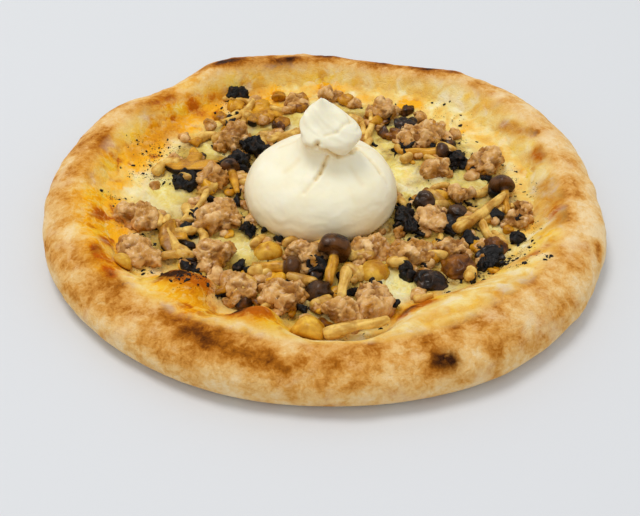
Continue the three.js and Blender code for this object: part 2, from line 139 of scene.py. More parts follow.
def on_circle(angles):
    """X and Y on a circle of radius 1."""
    return np.stack([np.cos(angles), np.sin(angles)], 1)


def numbered(kind):
    """The CAD nodes of a kind, such as sausage_01 and on."""
    return sorted(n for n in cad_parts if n.rsplit("_", 1)[0] == kind)


def drop(tree, x, y):
    """The height at which a plumb line meets the surface, or None."""
    hit = tree.ray_cast(Vector((x, y, FAR)), Vector((0, 0, -1)))[0]
    return hit.z if hit else None


def blurred(grid, sigma, axis, closed):
    """A grid of values smoothed along one axis, which may close on itself."""
    reach = max(1, int(round(3 * sigma)))
    weights = np.exp(-0.5 * (np.arange(-reach, reach + 1) / sigma) ** 2)
    weights /= weights.sum()
    mode = "wrap" if closed else "edge"
    widths = [(reach, reach) if i == axis else (0, 0) for i in range(grid.ndim)]
    padded = np.pad(grid, widths, mode=mode)
    count = grid.shape[axis]
    return sum(w * np.take(padded, range(i, i + count), axis) for i, w in enumerate(weights))


def face_normals(points, faces):
    """Normals twice as long as each face is large, for all quads or all triangles."""
    corners = points[faces]
    if faces.shape[1] == 3:
        return np.cross(corners[:, 1] - corners[:, 0], corners[:, 2] - corners[:, 0])
    return np.cross(corners[:, 2] - corners[:, 0], corners[:, 3] - corners[:, 1])


def point_normals(points, faces):
    """Unit normals at the points of a mesh."""
    across = face_normals(points, faces)
    total = np.zeros_like(points)
    for column in faces.T:
        for axis in range(3):
            total[:, axis] += np.bincount(column, across[:, axis], len(points))
    return total / np.maximum(np.linalg.norm(total, axis=1), 1e-9)[:, None]


def ring_faces(rings, around):
    """Quads between rings of points that follow each other, each closed round."""
    ring, turn = np.meshgrid(np.arange(rings - 1) * around, np.arange(around), indexing="ij")
    here, beside = ring + turn, ring + (turn + 1) % around
    return np.stack([here, beside, beside + around, here + around], -1).reshape(-1, 4)


def fan(start, around, middle, turned=False):
    """Triangles that close a ring of points, from start on, with a middle point."""
    sides = [(start + i, start + (i + 1) % around) for i in range(around)]
    return [[b, a, middle] if turned else [a, b, middle] for a, b in sides]


def make_piece(name, points, faces, material, replaced=(), slot=None, values=None):
    """A shown piece from millimetre points, riding on the pizza and standing for CAD nodes."""
    mesh = bpy.data.meshes.new(name)
    mesh.from_pydata((points * MM).tolist(), [], faces if isinstance(faces, list) else faces.tolist())
    for key, value in (values or {}).items():
        layer = mesh.attributes.new(key, "FLOAT", "POINT")
        layer.data.foreach_set("value", np.asarray(value, np.float32))
    mesh.validate()
    mesh.shade_smooth()
    mesh.materials.append(material)
    piece = bpy.data.objects.new(name, mesh)
    bpy.context.scene.collection.objects.link(piece)
    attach(piece, "root")
    if replaced:
        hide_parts(*replaced)
    return piece


# ---- Materials ----
def linear(red, green, blue):
    """A colour as seen, 0 to 255, as Blender's linear colour."""
    seen = np.array([red, green, blue]) / 255
    return (*np.where(seen <= 0.04045, seen / 12.92, ((seen + 0.055) / 1.055) ** 2.4), 1.0)


class Paint:
    """A node material being built: each call adds a node and gives back its output."""

    def __init__(self, name):
        self.material = bpy.data.materials.new(name)
        self.material.use_nodes = True
        self.tree = self.material.node_tree
        self.tree.nodes.clear()
        self.place = self.add("TexCoord").outputs["Object"]

    def add(self, kind, inputs=None, **settings):
        node = self.tree.nodes.new("ShaderNode" + kind)
        for key, value in settings.items():
            setattr(node, key, value)
        for socket, value in (inputs or {}).items():
            if isinstance(value, bpy.types.NodeSocket):
                self.tree.links.new(value, node.inputs[socket])
            else:
                node.inputs[socket].default_value = value
        return node

    def value(self, name):
        return self.add("Attribute", attribute_name=name).outputs["Fac"]

    def noise(self, size, detail=3, distortion=0.0):
        """Noise from 0 to 1 with spots about size millimetres wide."""
        inputs = {"Vector": self.place, "Scale": 1 / (size * MM), "Detail": detail}
        inputs["Distortion"] = distortion
        return self.add("TexNoise", inputs).outputs["Fac"]

    def plus(self, a, b):
        return self.add("Math", {0: a, 1: b}, operation="ADD").outputs[0]

    def times(self, a, b):
        return self.add("Math", {0: a, 1: b}, operation="MULTIPLY").outputs[0]

    def span(self, value, low, high, to_low=0.0, to_high=1.0):
        inputs = {"Value": value, "From Min": low, "From Max": high, "To Min": to_low, "To Max": to_high}
        return self.add("MapRange", inputs, clamp=True).outputs["Result"]

    def patchy(self, name, noise, low, high, least, most):
        """A value of the mesh, made weaker and stronger by noise."""
        return self.times(self.value(name), self.span(noise, low, high, least, most))

    def ramp(self, value, stops):
        node = self.add("ValToRGB", {"Fac": value})
        ramp = node.color_ramp
        while len(ramp.elements) < len(stops):
            ramp.elements.new(1.0)
        for element, (position, colour) in zip(ramp.elements, stops):
            element.position = position
            element.color = linear(*colour)
        return node.outputs["Color"]

    def mix(self, share, a, b):
        as_colour = lambda c: c if isinstance(c, bpy.types.NodeSocket) else linear(*c)
        inputs = {0: share, 6: as_colour(a), 7: as_colour(b)}
        return self.add("Mix", inputs, data_type="RGBA").outputs[2]

    def layers(self, colour, *layers):
        """Colours laid over the first, each in patches where its value of the mesh shows."""
        for over, *patches in layers:
            colour = self.mix(self.patchy(*patches), colour, over)
        return colour

    def specks(self):
        """Fine black dust, where the mesh's dust value allows it."""
        sieve = self.plus(self.noise(0.9, 2, 0.8), self.times(self.value("dust"), 0.13))
        clumps = self.patchy("dust", self.noise(5, 3, 0.5), 0.42, 0.6, 0, 1)
        return self.span(self.times(sieve, self.span(clumps, 0.02, 0.2)), 0.63, 0.68, 0, 0.9)

    def finish(self, colour, roughness, height, depth, specular, soft=()):
        """Closes the material. depth is the bump's, in millimetres. soft is how much light goes under
        the skin, how far it goes for each colour, and the metres that those are shares of."""
        bump = self.add("Bump", {"Height": height, "Distance": depth * MM, "Strength": 1.0})
        inputs = {"Base Color": colour, "Roughness": roughness, "Normal": bump.outputs["Normal"]}
        inputs["Specular IOR Level"] = specular
        inputs.update(zip(("Subsurface Weight", "Subsurface Radius", "Subsurface Scale"), soft))
        shader = self.add("BsdfPrincipled", inputs, subsurface_method="RANDOM_WALK")
        output = self.add("OutputMaterial")
        self.tree.links.new(shader.outputs["BSDF"], output.inputs["Surface"])
        return self.material


WALL_COLOURS = [
    (0.34, (240, 184, 72)), (0.46, (247, 206, 106)), (0.56, (251, 228, 152)), (0.66, (253, 241, 198)),
]
SPECK_COLOUR = (44, 26, 10)
BROWN_SPOT = (190, 98, 4)


# ---- Toasted marks, shared by the crust and the cheese: [from, to, radius, strength] ----
# Places on the inner wall are x, y alone; those on the rim have a height too.
TOAST = [
    [(-63, -119, 23), (-56, -122, 22), 6, 0.24], [(-48, -127, 22), (-38, -130, 22), 6, 0.22],
    [(-30, -133, 22), (-24, -135, 21), 5, 0.24], [(-16, -137, 22), (0, -138, 21), 6, 0.22],
    [(-104, -86, 21), (-99, -90, 20), 8, 0.22], [(-95, -98, 20), (10, -134, 20), 12, 0.10],
    [(52, -133, 20), (52, -133, 20), 6, 0.40], [(24, -121, 19), (40, -116, 20), 3, 0.20],
    [(44, -119, 21), (70, -110, 22), 9, 0.12], [(80, -100, 22), (92, -86, 23), 9, 0.16],
    [(117, -38, 21), (120, -30, 21), 6, 0.16], [(131, -6, 23), (131, 2, 23), 5, 0.12],
    [(136, -50, 18), (136, -58, 17), 3, 0.36], [(-78, 120, 27), (-60, 127, 27), 6, 0.42],
    [(-60, 126, 27), (-20, 134, 25), 9, 0.34], [(-24, 134, 25), (-22, 130, 25), 4, 0.34],
    [(0, 139, 23), (32, 134, 21), 9, 0.36], [(40, 134, 21), (80, 115, 24), 7, 0.24],
    [(-97, 90, 20), (-110, 74, 20), 8, 0.34], [(-126, 40, 20), (-132, 10, 22), 9, 0.16],
    [(-112, -60, 24), (-110, -66, 23), 5, 0.34], [(92, 84, 24), (100, 76, 24), 5, 0.20],
    [(-73, -76), (-58, -80), 6, 0.70], [(-68, -86), (-58, -92), 8, 0.26],
    [(-42, -101), (-30, -105), 6, 0.75], [(-106, -74), (-103, -77), 3, 0.50],
    [(36, -94), (48, -90), 5, 0.70], [(-80, 90), (-76, 88), 5, 0.80], [(-98, 62), (-90, 70), 6, 0.50],
    [(-106, 48), (-102, 54), 5, 0.40], [(-70, 100), (-62, 104), 5, 0.40], [(-91, 78), (-86, 80), 4, 0.34],
    [(-112, 41), (-110, 38), 4, 0.42], [(-118, -22), (-118, -26), 3, 0.50],
    [(-108, -24), (-106, -22), 3, 0.50], [(-112, -46), (-111, -49), 3, 0.50],
    [(112, -52), (110, -56), 4, 0.28], [(-48, 112), (-40, 114), 4, 0.30],
    [(120, 33), (121.5, 27), 3.5, 0.80], [(105, 63), (121, 46), 2.6, 0.50],
    [(120, 4), (121, -14), 6, 0.40], [(120, -24), (122, -36), 5, 0.40],
    [(98, -61.5), (104, -59), 2.4, 0.60], [(60, -84), (74, -75), 3.4, 0.45],
    [(20, 118), (26, 116), 4, 0.22],
]
CHAR = [
    [(50, -133, 20), (54, -133, 20), 4.2, 1.0], [(-79, 121, 28), (-75, 122, 28), 3, 0.6],
    [(-78, -74), (-70, -76), 4, 1.3], [(-112, -60, 24), (-113, -62, 24), 2.5, 0.4],
    [(38, -93), (41, -92), 2.5, 0.7], [(-44, -100), (-39, -102), 3, 0.9],
]
GOLD = [
    [(-128, -14, 23), (-119, -45, 23), 8, 0.7], [(-128, 8, 23), (-116, 50, 22), 9, 0.4],
    [(-104, 80, 21), (-84, 108, 24), 9, 0.4], [(-118, -8), (-112, -38), 8, 1.1],
    [(-112, -38), (-100, -62), 7, 0.8], [(-117, 6), (-116, 24), 6, 0.7], [(-110, 34), (-102, 52), 8, 1.3],
    [(-100, 60), (-92, 72), 7, 0.9], [(-86, 80), (-72, 92), 9, 1.3], [(-66, 100), (-58, 106), 6, 0.7],
    [(-46, 108), (-34, 112), 7, 0.8], [(-30, 92), (-26, 98), 5, 0.8], [(-8, 120), (10, 122), 7, 0.5],
    [(50, 102), (57, 99), 4, 1.2], [(112, 28), (116, 22), 4, 0.8], [(-80, -70), (-64, -80), 9, 1.5],
    [(-74, -84), (-60, -98), 9, 1.4], [(-42, -100), (-26, -106), 9, 1.5],
    [(-114, -58, 24), (-108, -68, 22), 6, 1.1], [(-106, -74), (-103, -77), 4, 1.0],
    [(-22, -106), (-16, -108), 5, 0.6], [(34, -92), (52, -86), 6, 1.4], [(88, 72), (104, 48), 7, 0.35],
    [(104, -28), (108, -20), 5, 0.5], [(112, -44), (106, -58), 6, 0.6],
]
FLECKS = [  # middle x, y, how far they spread, how many
    (-60, -80, 6, 16), (-68, -76, 5, 14), (-72, -83, 5, 8), (-90, -58, 6, 8), (-78, -66, 5, 6),
    (75, -66, 7, 10), (88, -58, 7, 14), (100, -52, 6, 10), (95, -68, 6, 8), (106, -66, 5, 6),
    (82, 78, 6, 8), (80, 60, 7, 10), (78, 48, 6, 10), (-116, -4, 5, 8), (-110, -6, 6, 8), (-92, 48, 9, 12),
    (-84, 36, 7, 8), (-99, 30, 7, 10), (-93, 20, 7, 8), (108, -26, 7, 10), (102, -38, 6, 8),
    (-98, -22, 8, 10), (-106, 44, 8, 10), (104, 20, 9, 10), (98, 40, 9, 8), (-60, 92, 9, 10),
    (-96, -46, 6, 8), (34, 96, 10, 8), (66, 88, 10, 8), (112, 4, 8, 6), (-108, 20, 7, 8),
]


def dusted(points):
    """How much black dust lies about each point."""
    total = np.zeros(len(points))
    for x, y, spread, count in FLECKS:
        distance = np.hypot(points[:, 0] - x, points[:, 1] - y)
        total += 0.04 * count * np.exp(-(distance / (spread * 1.3)) ** 2)
    return total


def marked(points, marks):
    """How strongly the marks show at the points: each is a soft line from one point to another."""
    total = np.zeros(len(points))
    for start, end, radius, strength in marks:
        start, along = np.array(start, float), np.subtract(end, start)
        places = points[:, :len(start)]
        share = (places - start) @ along / max(along @ along, 1e-9)
        nearest = start + np.clip(share, 0, 1)[:, None] * along
        distance = np.linalg.norm(places - nearest, axis=1)
        total = total + strength * np.exp(-(distance / radius) ** 2)
    return total


# ---- The crust ----
AROUND = 820
WIDEST_HEIGHT = 9.5
CREST_INSET = 19  # from the widest line in to the crest
OUTSIDE_STEPS = 46
LOWEST_TILT, HIGHEST_TILT = -52, 90  # degrees, as seen from within the rim
INSIDE_STEPS = 54
INSIDE_RADIUS = 82  # inside this the cheese covers the dough everywhere
FLOOR_HEIGHT = 5.0  # of the dough under the cheese
FLOOR_RADII = [60, 30]
BASE_RADII = [132, 110, 80, 45, 15]

turns = np.linspace(0, 2 * math.pi, AROUND, endpoint=False)


def section_points(tree):
    """Rings on the CAD dough, from its base out, up to the crest and down the inner wall."""
    rows = []
    for turn in turns:
        away = Vector((math.cos(turn), math.sin(turn), 0))
        hit = tree.ray_cast(away * FAR + Vector((0, 0, WIDEST_HEIGHT)), -away)[0]
        crest = Vector((hit.x, hit.y, 0)).length - CREST_INSET
        spine = away * crest + Vector((0, 0, WIDEST_HEIGHT))
        row = []
        for tilt in np.radians(np.linspace(LOWEST_TILT, HIGHEST_TILT, OUTSIDE_STEPS)):
            ray = away * math.cos(tilt) + Vector((0, 0, math.sin(tilt)))
            hit = tree.ray_cast(spine, ray)[0]
            row.append((away.dot(hit), hit.z))
        for radius in np.linspace(crest, INSIDE_RADIUS, INSIDE_STEPS + 1)[1:]:
            row.append((radius, drop(tree, away.x * radius, away.y * radius)))
        rows.append(row)
    return np.array(rows).transpose(1, 0, 2)


FOLD = [  # the crease along the near right, and the lip above it
    [(24, -119, 20), (40, -113.6, 21), 0.8, 1.0],
    [(40, -113.6, 21), (56, -106, 22.5), 0.8, 1.0],
    [(56, -106, 22.5), (70, -103, 24.5), 0.8, 0.8],
]
FOLD_LIP = [[(26, -115, 20), (58, -101, 22), 4, 1.0]]
BUBBLES = [[(-74, -72), (-62, -80), 9, 5.0], [(-40, -100), (-30, -104), 6, 1.6]]
BASE_LOOK = {"flour": 0.4, "toast": 0.2}


def crust_relief(points, normals, share):
    """Pushes the crust's skin in and out: wide lumps, blisters, wrinkles and a fold line."""
    turn = np.arctan2(points[:, 1], points[:, 0])
    wrapped = np.column_stack([on_circle(turn) * 150, share * 95])
    high = step(points[:, 2], 1.5, 9)
    depth = 1.0 * rough(points, 34, 1, 2) + 0.55 * rough(points, 13, 5, 2)
    near, pick = cells(points + 2 * noise(points, 9, 9)[:, None], 15, 11)
    depth += 0.9 * pick ** 3 * step(0.55 - near, 0, 0.5)
    near, pick = cells(points, 6, 21)
    depth += 0.45 * pick ** 4 * step(0.5 - near, 0, 0.5)
    depth += 0.30 * rough(wrapped, (14, 14, 3.2), 31, 3)
    depth += 0.16 * rough(points, 2.8, 41, 3)
    depth -= 0.9 * np.minimum(marked(points, FOLD), 1)
    depth += 0.8 * np.minimum(marked(points, FOLD_LIP), 1) + marked(points, BUBBLES)
    return points + normals * (depth * high)[:, None]


def crust_values(points, normals, share):
    """How toasted, golden, cheesy and floury the crust is at each point, 0 to 1. The toasting value also
    carries painted shade on the near side of the rim.
    """
    height = points[:, 2]
    top = step(height, 9, 21)
    facing = np.clip(normals[:, 2], 0, 1)
    spots = rough(points, 26, 51, 3)
    small = rough(points, 9, 61, 3)
    toast = 0.12 + 0.12 * top + 0.04 * facing + 0.34 * spots * (0.5 + 0.5 * top) + 0.22 * small
    toast = toast + marked(points, TOAST)
    inside = step(share, 0.47, 0.56)
    # painted shade: the near side of the rim is darkened through the toasting value
    toast = toast - 0.12 * inside + 0.06 * step(-points[:, 1], 60, 130) * (1 - inside)
    toast = toast - 0.06 * step(np.abs(points[:, 1]), 110, 60) * points[:, 0] / 140
    char = marked(points, CHAR) * (1 + 0.5 * rough(points, 4, 71, 2))
    gold = marked(points, GOLD) + 0.5 * inside * step(rough(points, 13, 81, 3), 0.05, 0.4)
    cream = inside * np.clip(0.95 + 0.5 * rough(points, 12, 91, 3), 0, 1)
    flour = step(9 - height, 0, 9) * 0.7 + 0.6 * step(rough(points, 13, 95, 3), 0.05, 0.45)
    spot = inside * (marked(points, TOAST) * 1.2 + 0.6 * step(rough(points, 8, 181, 3), 0.2, 0.45) * gold)
    values = {"toast": toast, "char": char, "gold": gold, "cream": cream, "flour": flour, "spot": spot}
    values["dust"] = dusted(points)
    return {key: np.clip(value, 0, 1.5) for key, value in values.items()}


def crust_material():
    paint = Paint("baked_crust")
    patches = paint.noise(10, 6, 0.6)
    mottle = paint.noise(3.4, 7, 0.8)
    fine = paint.noise(1.0, 6)
    pores = paint.noise(0.5, 3)
    # the toasting value also holds the painted shade on the near side of the rim
    toast = paint.plus(paint.value("toast"), paint.span(patches, 0.3, 0.7, -0.10, 0.10))
    toast = paint.plus(toast, paint.span(mottle, 0.35, 0.65, -0.09, 0.09))
    toast = paint.plus(toast, paint.span(fine, 0.3, 0.7, -0.05, 0.05))
    colour = paint.ramp(toast, [
        (0.0, (248, 218, 166)), (0.2, (240, 194, 122)), (0.4, (220, 156, 72)),
        (0.6, (178, 106, 22)), (0.8, (120, 62, 6)), (1.0, (58, 28, 6)),
    ])
    pale = paint.patchy("flour", mottle, 0.35, 0.65, 0.15, 0.7)
    pale = paint.times(pale, paint.span(toast, 0.3, 0.5, 1.0, 0.0))
    colour = paint.mix(pale, colour, (248, 226, 188))
    golden = paint.ramp(toast, [
        (0.1, (255, 212, 66)), (0.4, (254, 176, 12)), (0.75, (200, 92, 0)), (1.0, (84, 36, 2)),
    ])
    burnt = paint.ramp(fine, [(0.3, (34, 16, 6)), (0.7, (76, 38, 10))])
    colour = paint.layers(
        colour,
        (paint.ramp(patches, WALL_COLOURS), "cream", mottle, 0.3, 0.7, 0.75, 1.0),
        (golden, "gold", mottle, 0.36, 0.6, 0.4, 1.0),
        (BROWN_SPOT, "spot", mottle, 0.3, 0.6, 0.55, 1.15),
        (burnt, "char", mottle, 0.3, 0.6, 0.7, 1.15),
    )
    colour = paint.mix(paint.specks(), colour, SPECK_COLOUR)
    height = paint.plus(paint.plus(fine, paint.times(pores, 0.5)), mottle)
    return paint.finish(colour, paint.span(patches, 0.3, 0.7, 0.5, 0.7), height, 0.5, 0.05)


def crust_rings():
    """The dough's sections, evened out, as rings of points."""
    section = section_points(cad_tree("dough"))
    spacing = 2 * math.pi * 140 / AROUND
    for axis, sigma, closed in ((1, 4.5 / spacing, True), (0, 2.2, False)):
        section = blurred(section, sigma, axis, closed)
    section[0, :, 1] = 0
    away = on_circle(turns)
    return away, np.concatenate([section[..., :1] * away, section[..., 1:]], 2)


def crust():
    away, rings = crust_rings()
    count = len(rings)
    share = np.repeat(np.linspace(0, 1, count), AROUND)
    skin = rings.reshape(-1, 3)
    faces = ring_faces(count, AROUND)
    skin = crust_relief(skin, point_normals(skin, faces), share)
    skin[:, 2] = np.maximum(skin[:, 2], 0)
    values = crust_values(skin, point_normals(skin, faces), share)
    # a few wide rings close the skin: the base below, and the floor under the cheese
    flat = lambda radius, height: np.column_stack([away * radius, np.full(AROUND, height)])
    base = [flat(radius, 0.0) for radius in reversed(BASE_RADII)]
    floor_rings = [flat(radius, FLOOR_HEIGHT) for radius in FLOOR_RADII]
    every = np.concatenate(base + [skin] + floor_rings + [[[0, 0, FLOOR_HEIGHT]], [[0, 0, 0]]])
    total = len(base) + count + len(floor_rings)
    middle = len(every) - 2
    every_face = ring_faces(total, AROUND).tolist() + fan((total - 1) * AROUND, AROUND, middle)
    every_face += fan(0, AROUND, middle + 1, True)
    before, after = len(base) * AROUND, len(floor_rings) * AROUND + 2
    padded = {
        key: np.concatenate([np.full(before, BASE_LOOK.get(key, 0.0)), value, np.zeros(after)])
        for key, value in values.items()
    }
    make_piece("crust", every, every_face, crust_material(), ["dough"], "crust", padded)
    return tree_of(skin, faces.tolist())


crust_tree = crust()

# ---- What lies where: a map of the toppings seen from above, for the cheese to rise round ----
MAP_REACH = 120
MAP_STEP = 0.8
NOT_TOPPINGS = ("dough", "cheese")


def topping_map():
    """Grids over the middle: 1 where a topping stands, blurred narrowly and widely."""
    tree = cad_tree(*[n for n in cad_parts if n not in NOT_TOPPINGS])
    ticks = np.arange(-MAP_REACH, MAP_REACH + MAP_STEP / 2, MAP_STEP)
    covered = np.array([[drop(tree, x, y) is not None for y in ticks] for x in ticks], float)
    near, wide = covered, covered
    for axis in (0, 1):
        near = blurred(near, 1.6 / MAP_STEP, axis, False)
        wide = blurred(wide, 5 / MAP_STEP, axis, False)
    return near, wide


def map_value(grid, points):
    """A map's value at each point, between its cells."""
    place = np.clip((points[:, :2] + MAP_REACH) / MAP_STEP, 0, len(grid) - 1.001)
    cell = place.astype(int)
    (u, v), (i, j) = (place - cell).T, cell.T
    low = grid[i, j] * (1 - u) + grid[i + 1, j] * u
    high = grid[i, j + 1] * (1 - u) + grid[i + 1, j + 1] * u
    return low * (1 - v) + high * v


near_map, wide_map = topping_map()

# ---- The melted cheese ----
PUDDLES = [  # where it lies bare and clean: x, y, how wide
    (36, -71, 11), (-43, -44, 10), (-88, 5, 11), (68, 20, 9), (43, 26, 9), (90, -25, 5),
]
CHEESE_AROUND = 640
CHEESE_RINGS = 112
CHEESE_THICKEST = 3.9
CHEESE_THINNEST = 0.9
CHEESE_ON_WALL = 1.8
CHEESE_FILLET = 6  # rings over which it rounds off the foot of the wall
CHEESE_EDGE_SUNK = 0.7  # the edge ends this far inside the crust
CHEESE_FADE = 15  # the sheet thins out over this width
CHEESE_UNDERSIDE = 4.6
CHEESE_BELOW_RADII = (96, 75, 40)
CHEESE_BELOW_CRUST = 1.4
CHEESE_WALL_RINGS = 24  # the outer rings that lie on the wall
CHEESE_SEARCH = np.arange(136, 86, -0.5)  # radii tried for its edge, from outside in


def cheese_edge(tree):
    """The radius at which the cheese ends at each angle, a little ragged."""
    angles = np.linspace(0, 2 * math.pi, 240, endpoint=False)
    found = []
    for angle in angles:
        x, y = math.cos(angle), math.sin(angle)
        found.append(next(r for r in CHEESE_SEARCH if drop(tree, x * r, y * r) is not None))
    found = blurred(np.array(found), 1.5, 0, True)
    around = np.linspace(0, 2 * math.pi, CHEESE_AROUND, endpoint=False)
    edge = np.interp(around, np.append(angles, 2 * math.pi), np.append(found, found[0]))
    circle = np.column_stack([on_circle(around) * edge[:, None], np.zeros(CHEESE_AROUND)])
    return around, edge + 3.0 * rough(circle, 13, 101, 3) + 1.0


def cheese_relief(points):
    """Melted lumps, strands that were pulled about as it ran, and toasted bubbles."""
    warp = np.stack([noise(points, 17, 111), noise(points, 17, 113), np.zeros(len(points))], 1)
    pulled = points + 9 * warp
    strand = 1 - np.abs(rough(pulled, (3.0, 9, 9), 121, 2)) * 2.4
    where = step(rough(points, 26, 131, 2), -0.15, 0.3)
    depth = 0.8 * rough(points, 15, 141, 3) + 0.9 * where * (strand - 0.5)
    near, pick = cells(pulled, 9, 151)
    depth += 0.9 * pick ** 3 * step(0.5 - near, 0, 0.5)
    return depth + 0.26 * rough(points, 2.6, 161, 2), strand * where


def cheese_values(points, strand):
    """How golden, toasted, milky, juice-stained and oily the cheese is, where it climbs the wall, and where
    it is darkened with painted shade next to the toppings.
    """
    radius = np.hypot(points[:, 0], points[:, 1])
    climb = step(radius, 96, 110)
    back_left = step(points[:, 1] - points[:, 0], -20, 60)
    spots = step(rough(points, 13, 171, 3), 0.28 - 0.3 * back_left * climb, 0.6 - 0.3 * back_left * climb)
    golden = marked(points, GOLD) + 0.7 * spots * (0.35 + 0.65 * climb)
    brown = marked(points, TOAST) + 0.6 * step(rough(points, 8, 181, 3), 0.22, 0.5) * golden
    milk = step(rough(points, 22, 191, 3), -0.05, 0.3) * (0.4 + 0.6 * strand)
    beside = map_value(wide_map, points)
    bare = np.zeros(len(points))
    for x, y, size in PUDDLES:
        bare += np.exp(-((points[:, 0] - x) ** 2 + (points[:, 1] - y) ** 2) / size ** 2)
    # painted shade next to the toppings, in the juice colour; the juice patches below are real stains
    stain = step(beside, 0.0, 0.4) * (0.75 + 0.9 * rough(points, 9, 201, 3))
    juice = 0.8 * step(rough(points, 12, 207, 3), -0.15, 0.3) * (1 - climb)
    stain = np.maximum(stain, juice) * (1 - np.clip(1.3 * bare, 0, 1))
    oil = step(rough(points, 17, 205, 3), -0.02, 0.3) * (1 - 0.7 * climb) * (1 - 0.6 * np.clip(bare, 0, 1))
    furrow = (1 - strand) * step(rough(points, 18, 209, 2), -0.3, 0.1)
    values = {"gold": golden, "toast": brown, "milk": milk, "stain": stain, "climb": climb, "oil": oil}
    values["furrow"] = furrow * (1 - 0.6 * climb) * (1 - 0.5 * np.clip(bare, 0, 1))
    values["char"] = marked(points, CHAR) * (1 + 0.6 * rough(points, 4, 71, 2))
    values["dust"] = dusted(points) + 0.5 * beside
    return {key: np.clip(value, 0, 1.5) for key, value in values.items()}


def cheese_material():
    paint = Paint("melted_cheese")
    patches = paint.noise(10, 6, 0.6)
    mottle = paint.noise(4, 5, 0.8)
    fine = paint.noise(1.5, 4, 0.6)
    colour = paint.ramp(mottle, [(0.28, (238, 212, 104)), (0.5, (250, 234, 146)), (0.72, (254, 247, 196))])
    juice = paint.ramp(fine, [(0.3, (112, 70, 4)), (0.7, (200, 152, 34))])
    colour = paint.layers(
        colour,
        ((214, 192, 74), "oil", mottle, 0.3, 0.7, 0.2, 0.75),
        ((202, 166, 66), "furrow", fine, 0.3, 0.7, 0.3, 0.9),
        ((244, 240, 208), "milk", fine, 0.3, 0.7, 0.5, 1.0),
        # the juice colour, laid as real juice stains and as painted shade next to the toppings
        (juice, "stain", mottle, 0.3, 0.65, 0.5, 1.1),
        (paint.ramp(patches, WALL_COLOURS), "climb", mottle, 0.3, 0.7, 0.75, 1.0),
        ((255, 184, 26), "gold", mottle, 0.36, 0.6, 0.4, 1.0),
        (BROWN_SPOT, "toast", fine, 0.3, 0.65, 0.6, 1.3),
    )
    climb = paint.patchy("climb", mottle, 0.3, 0.7, 0.75, 1.0)
    colour = paint.mix(paint.value("char"), colour, (56, 28, 6))
    colour = paint.mix(paint.specks(), colour, SPECK_COLOUR)
    height = paint.plus(mottle, paint.times(fine, 0.8))
    roughness = paint.plus(paint.span(fine, 0.3, 0.7, 0.22, 0.4), paint.span(climb, 0, 1, 0, 0.22))
    return paint.finish(colour, roughness, height, 0.6, 0.14, (0.12, (1.0, 0.7, 0.35), 2 * MM))


def cheese_layers(flat, cad_cheese, cad_dough):
    """What lies under the sheet, and how thick the sheet is, at each place."""
    under, thick = np.empty(flat.shape[:2]), np.empty(flat.shape[:2])
    for ring, turn in np.ndindex(under.shape):
        x, y = flat[ring, turn]
        base = drop(cad_dough, x, y)
        top = drop(cad_cheese, x, y)
        thick[ring, turn] = min(top - base, CHEESE_THICKEST) if top else CHEESE_THINNEST
        under[ring, turn] = drop(crust_tree, x, y) if math.hypot(x, y) > INSIDE_RADIUS + 2 else base
    for axis, closed in ((1, True), (0, False)):
        under = blurred(under, 2.5, axis, closed)
        thick = blurred(thick, 5, axis, closed)
    on_wall = step(np.hypot(flat[..., 0], flat[..., 1]), 86, 102)
    return under, thick + (CHEESE_ON_WALL - thick) * on_wall


def cheese_closed(skin, flat, under, away):
    """All the points and faces: a coarse skin inside the dough closes the sheet from below."""
    level = np.full(CHEESE_AROUND, CHEESE_UNDERSIDE)
    outer = range(-1, -CHEESE_WALL_RINGS, -4)
    below = [np.column_stack([flat[i], under[i] - CHEESE_BELOW_CRUST]) for i in outer]
    below += [np.column_stack([away * radius, level]) for radius in CHEESE_BELOW_RADII]
    top_middle = [0, 0, skin[:CHEESE_AROUND, 2].mean()]
    every = np.concatenate([skin, *below, [[0, 0, CHEESE_UNDERSIDE]], [top_middle]])
    rings = CHEESE_RINGS + len(below)
    middle, last = len(every) - 1, (rings - 1) * CHEESE_AROUND
    faces = ring_faces(rings, CHEESE_AROUND)[:, ::-1].tolist()
    return every, faces + fan(0, CHEESE_AROUND, middle) + fan(last, CHEESE_AROUND, middle - 1, True)


def cheese():
    cad_cheese, cad_dough = cad_tree("cheese"), cad_tree("dough")
    around, edge = cheese_edge(cad_cheese)
    shares = np.linspace(0, 1, CHEESE_RINGS + 1)[1:] ** 0.8
    away = on_circle(around)
    flat = (shares[:, None, None] * edge[None, :, None]) * away[None]
    under, thick = cheese_layers(flat, cad_cheese, cad_dough)
    inwards = (1 - shares)[:, None] * edge[None]
    full = step(inwards, -1, CHEESE_FADE)
    height = under + (thick + CHEESE_EDGE_SUNK) * full - CHEESE_EDGE_SUNK
    eased = blurred(height, CHEESE_FILLET, 0, False)
    height = height + np.maximum(eased - height, 0) * step(inwards, 2, 10)
    skin = np.concatenate([flat, height[..., None]], 2).reshape(-1, 3)
    depth, strand = cheese_relief(skin)
    rise = 1.6 * step(map_value(near_map, skin), 0.05, 0.6)
    skin[:, 2] += (depth + rise) * full.ravel()
    every, faces = cheese_closed(skin, flat, under, away)
    hidden = np.zeros(len(every) - len(skin))
    values = {key: np.concatenate([v, hidden]) for key, v in cheese_values(skin, strand).items()}
    make_piece("melted_cheese", every, faces, cheese_material(), ["cheese"], "melted_cheese", values)
    return tree_of(skin, ring_faces(CHEESE_RINGS, CHEESE_AROUND).tolist())


cheese_tree = cheese()

# ---- Fine surfaces grown from the CAD toppings ----


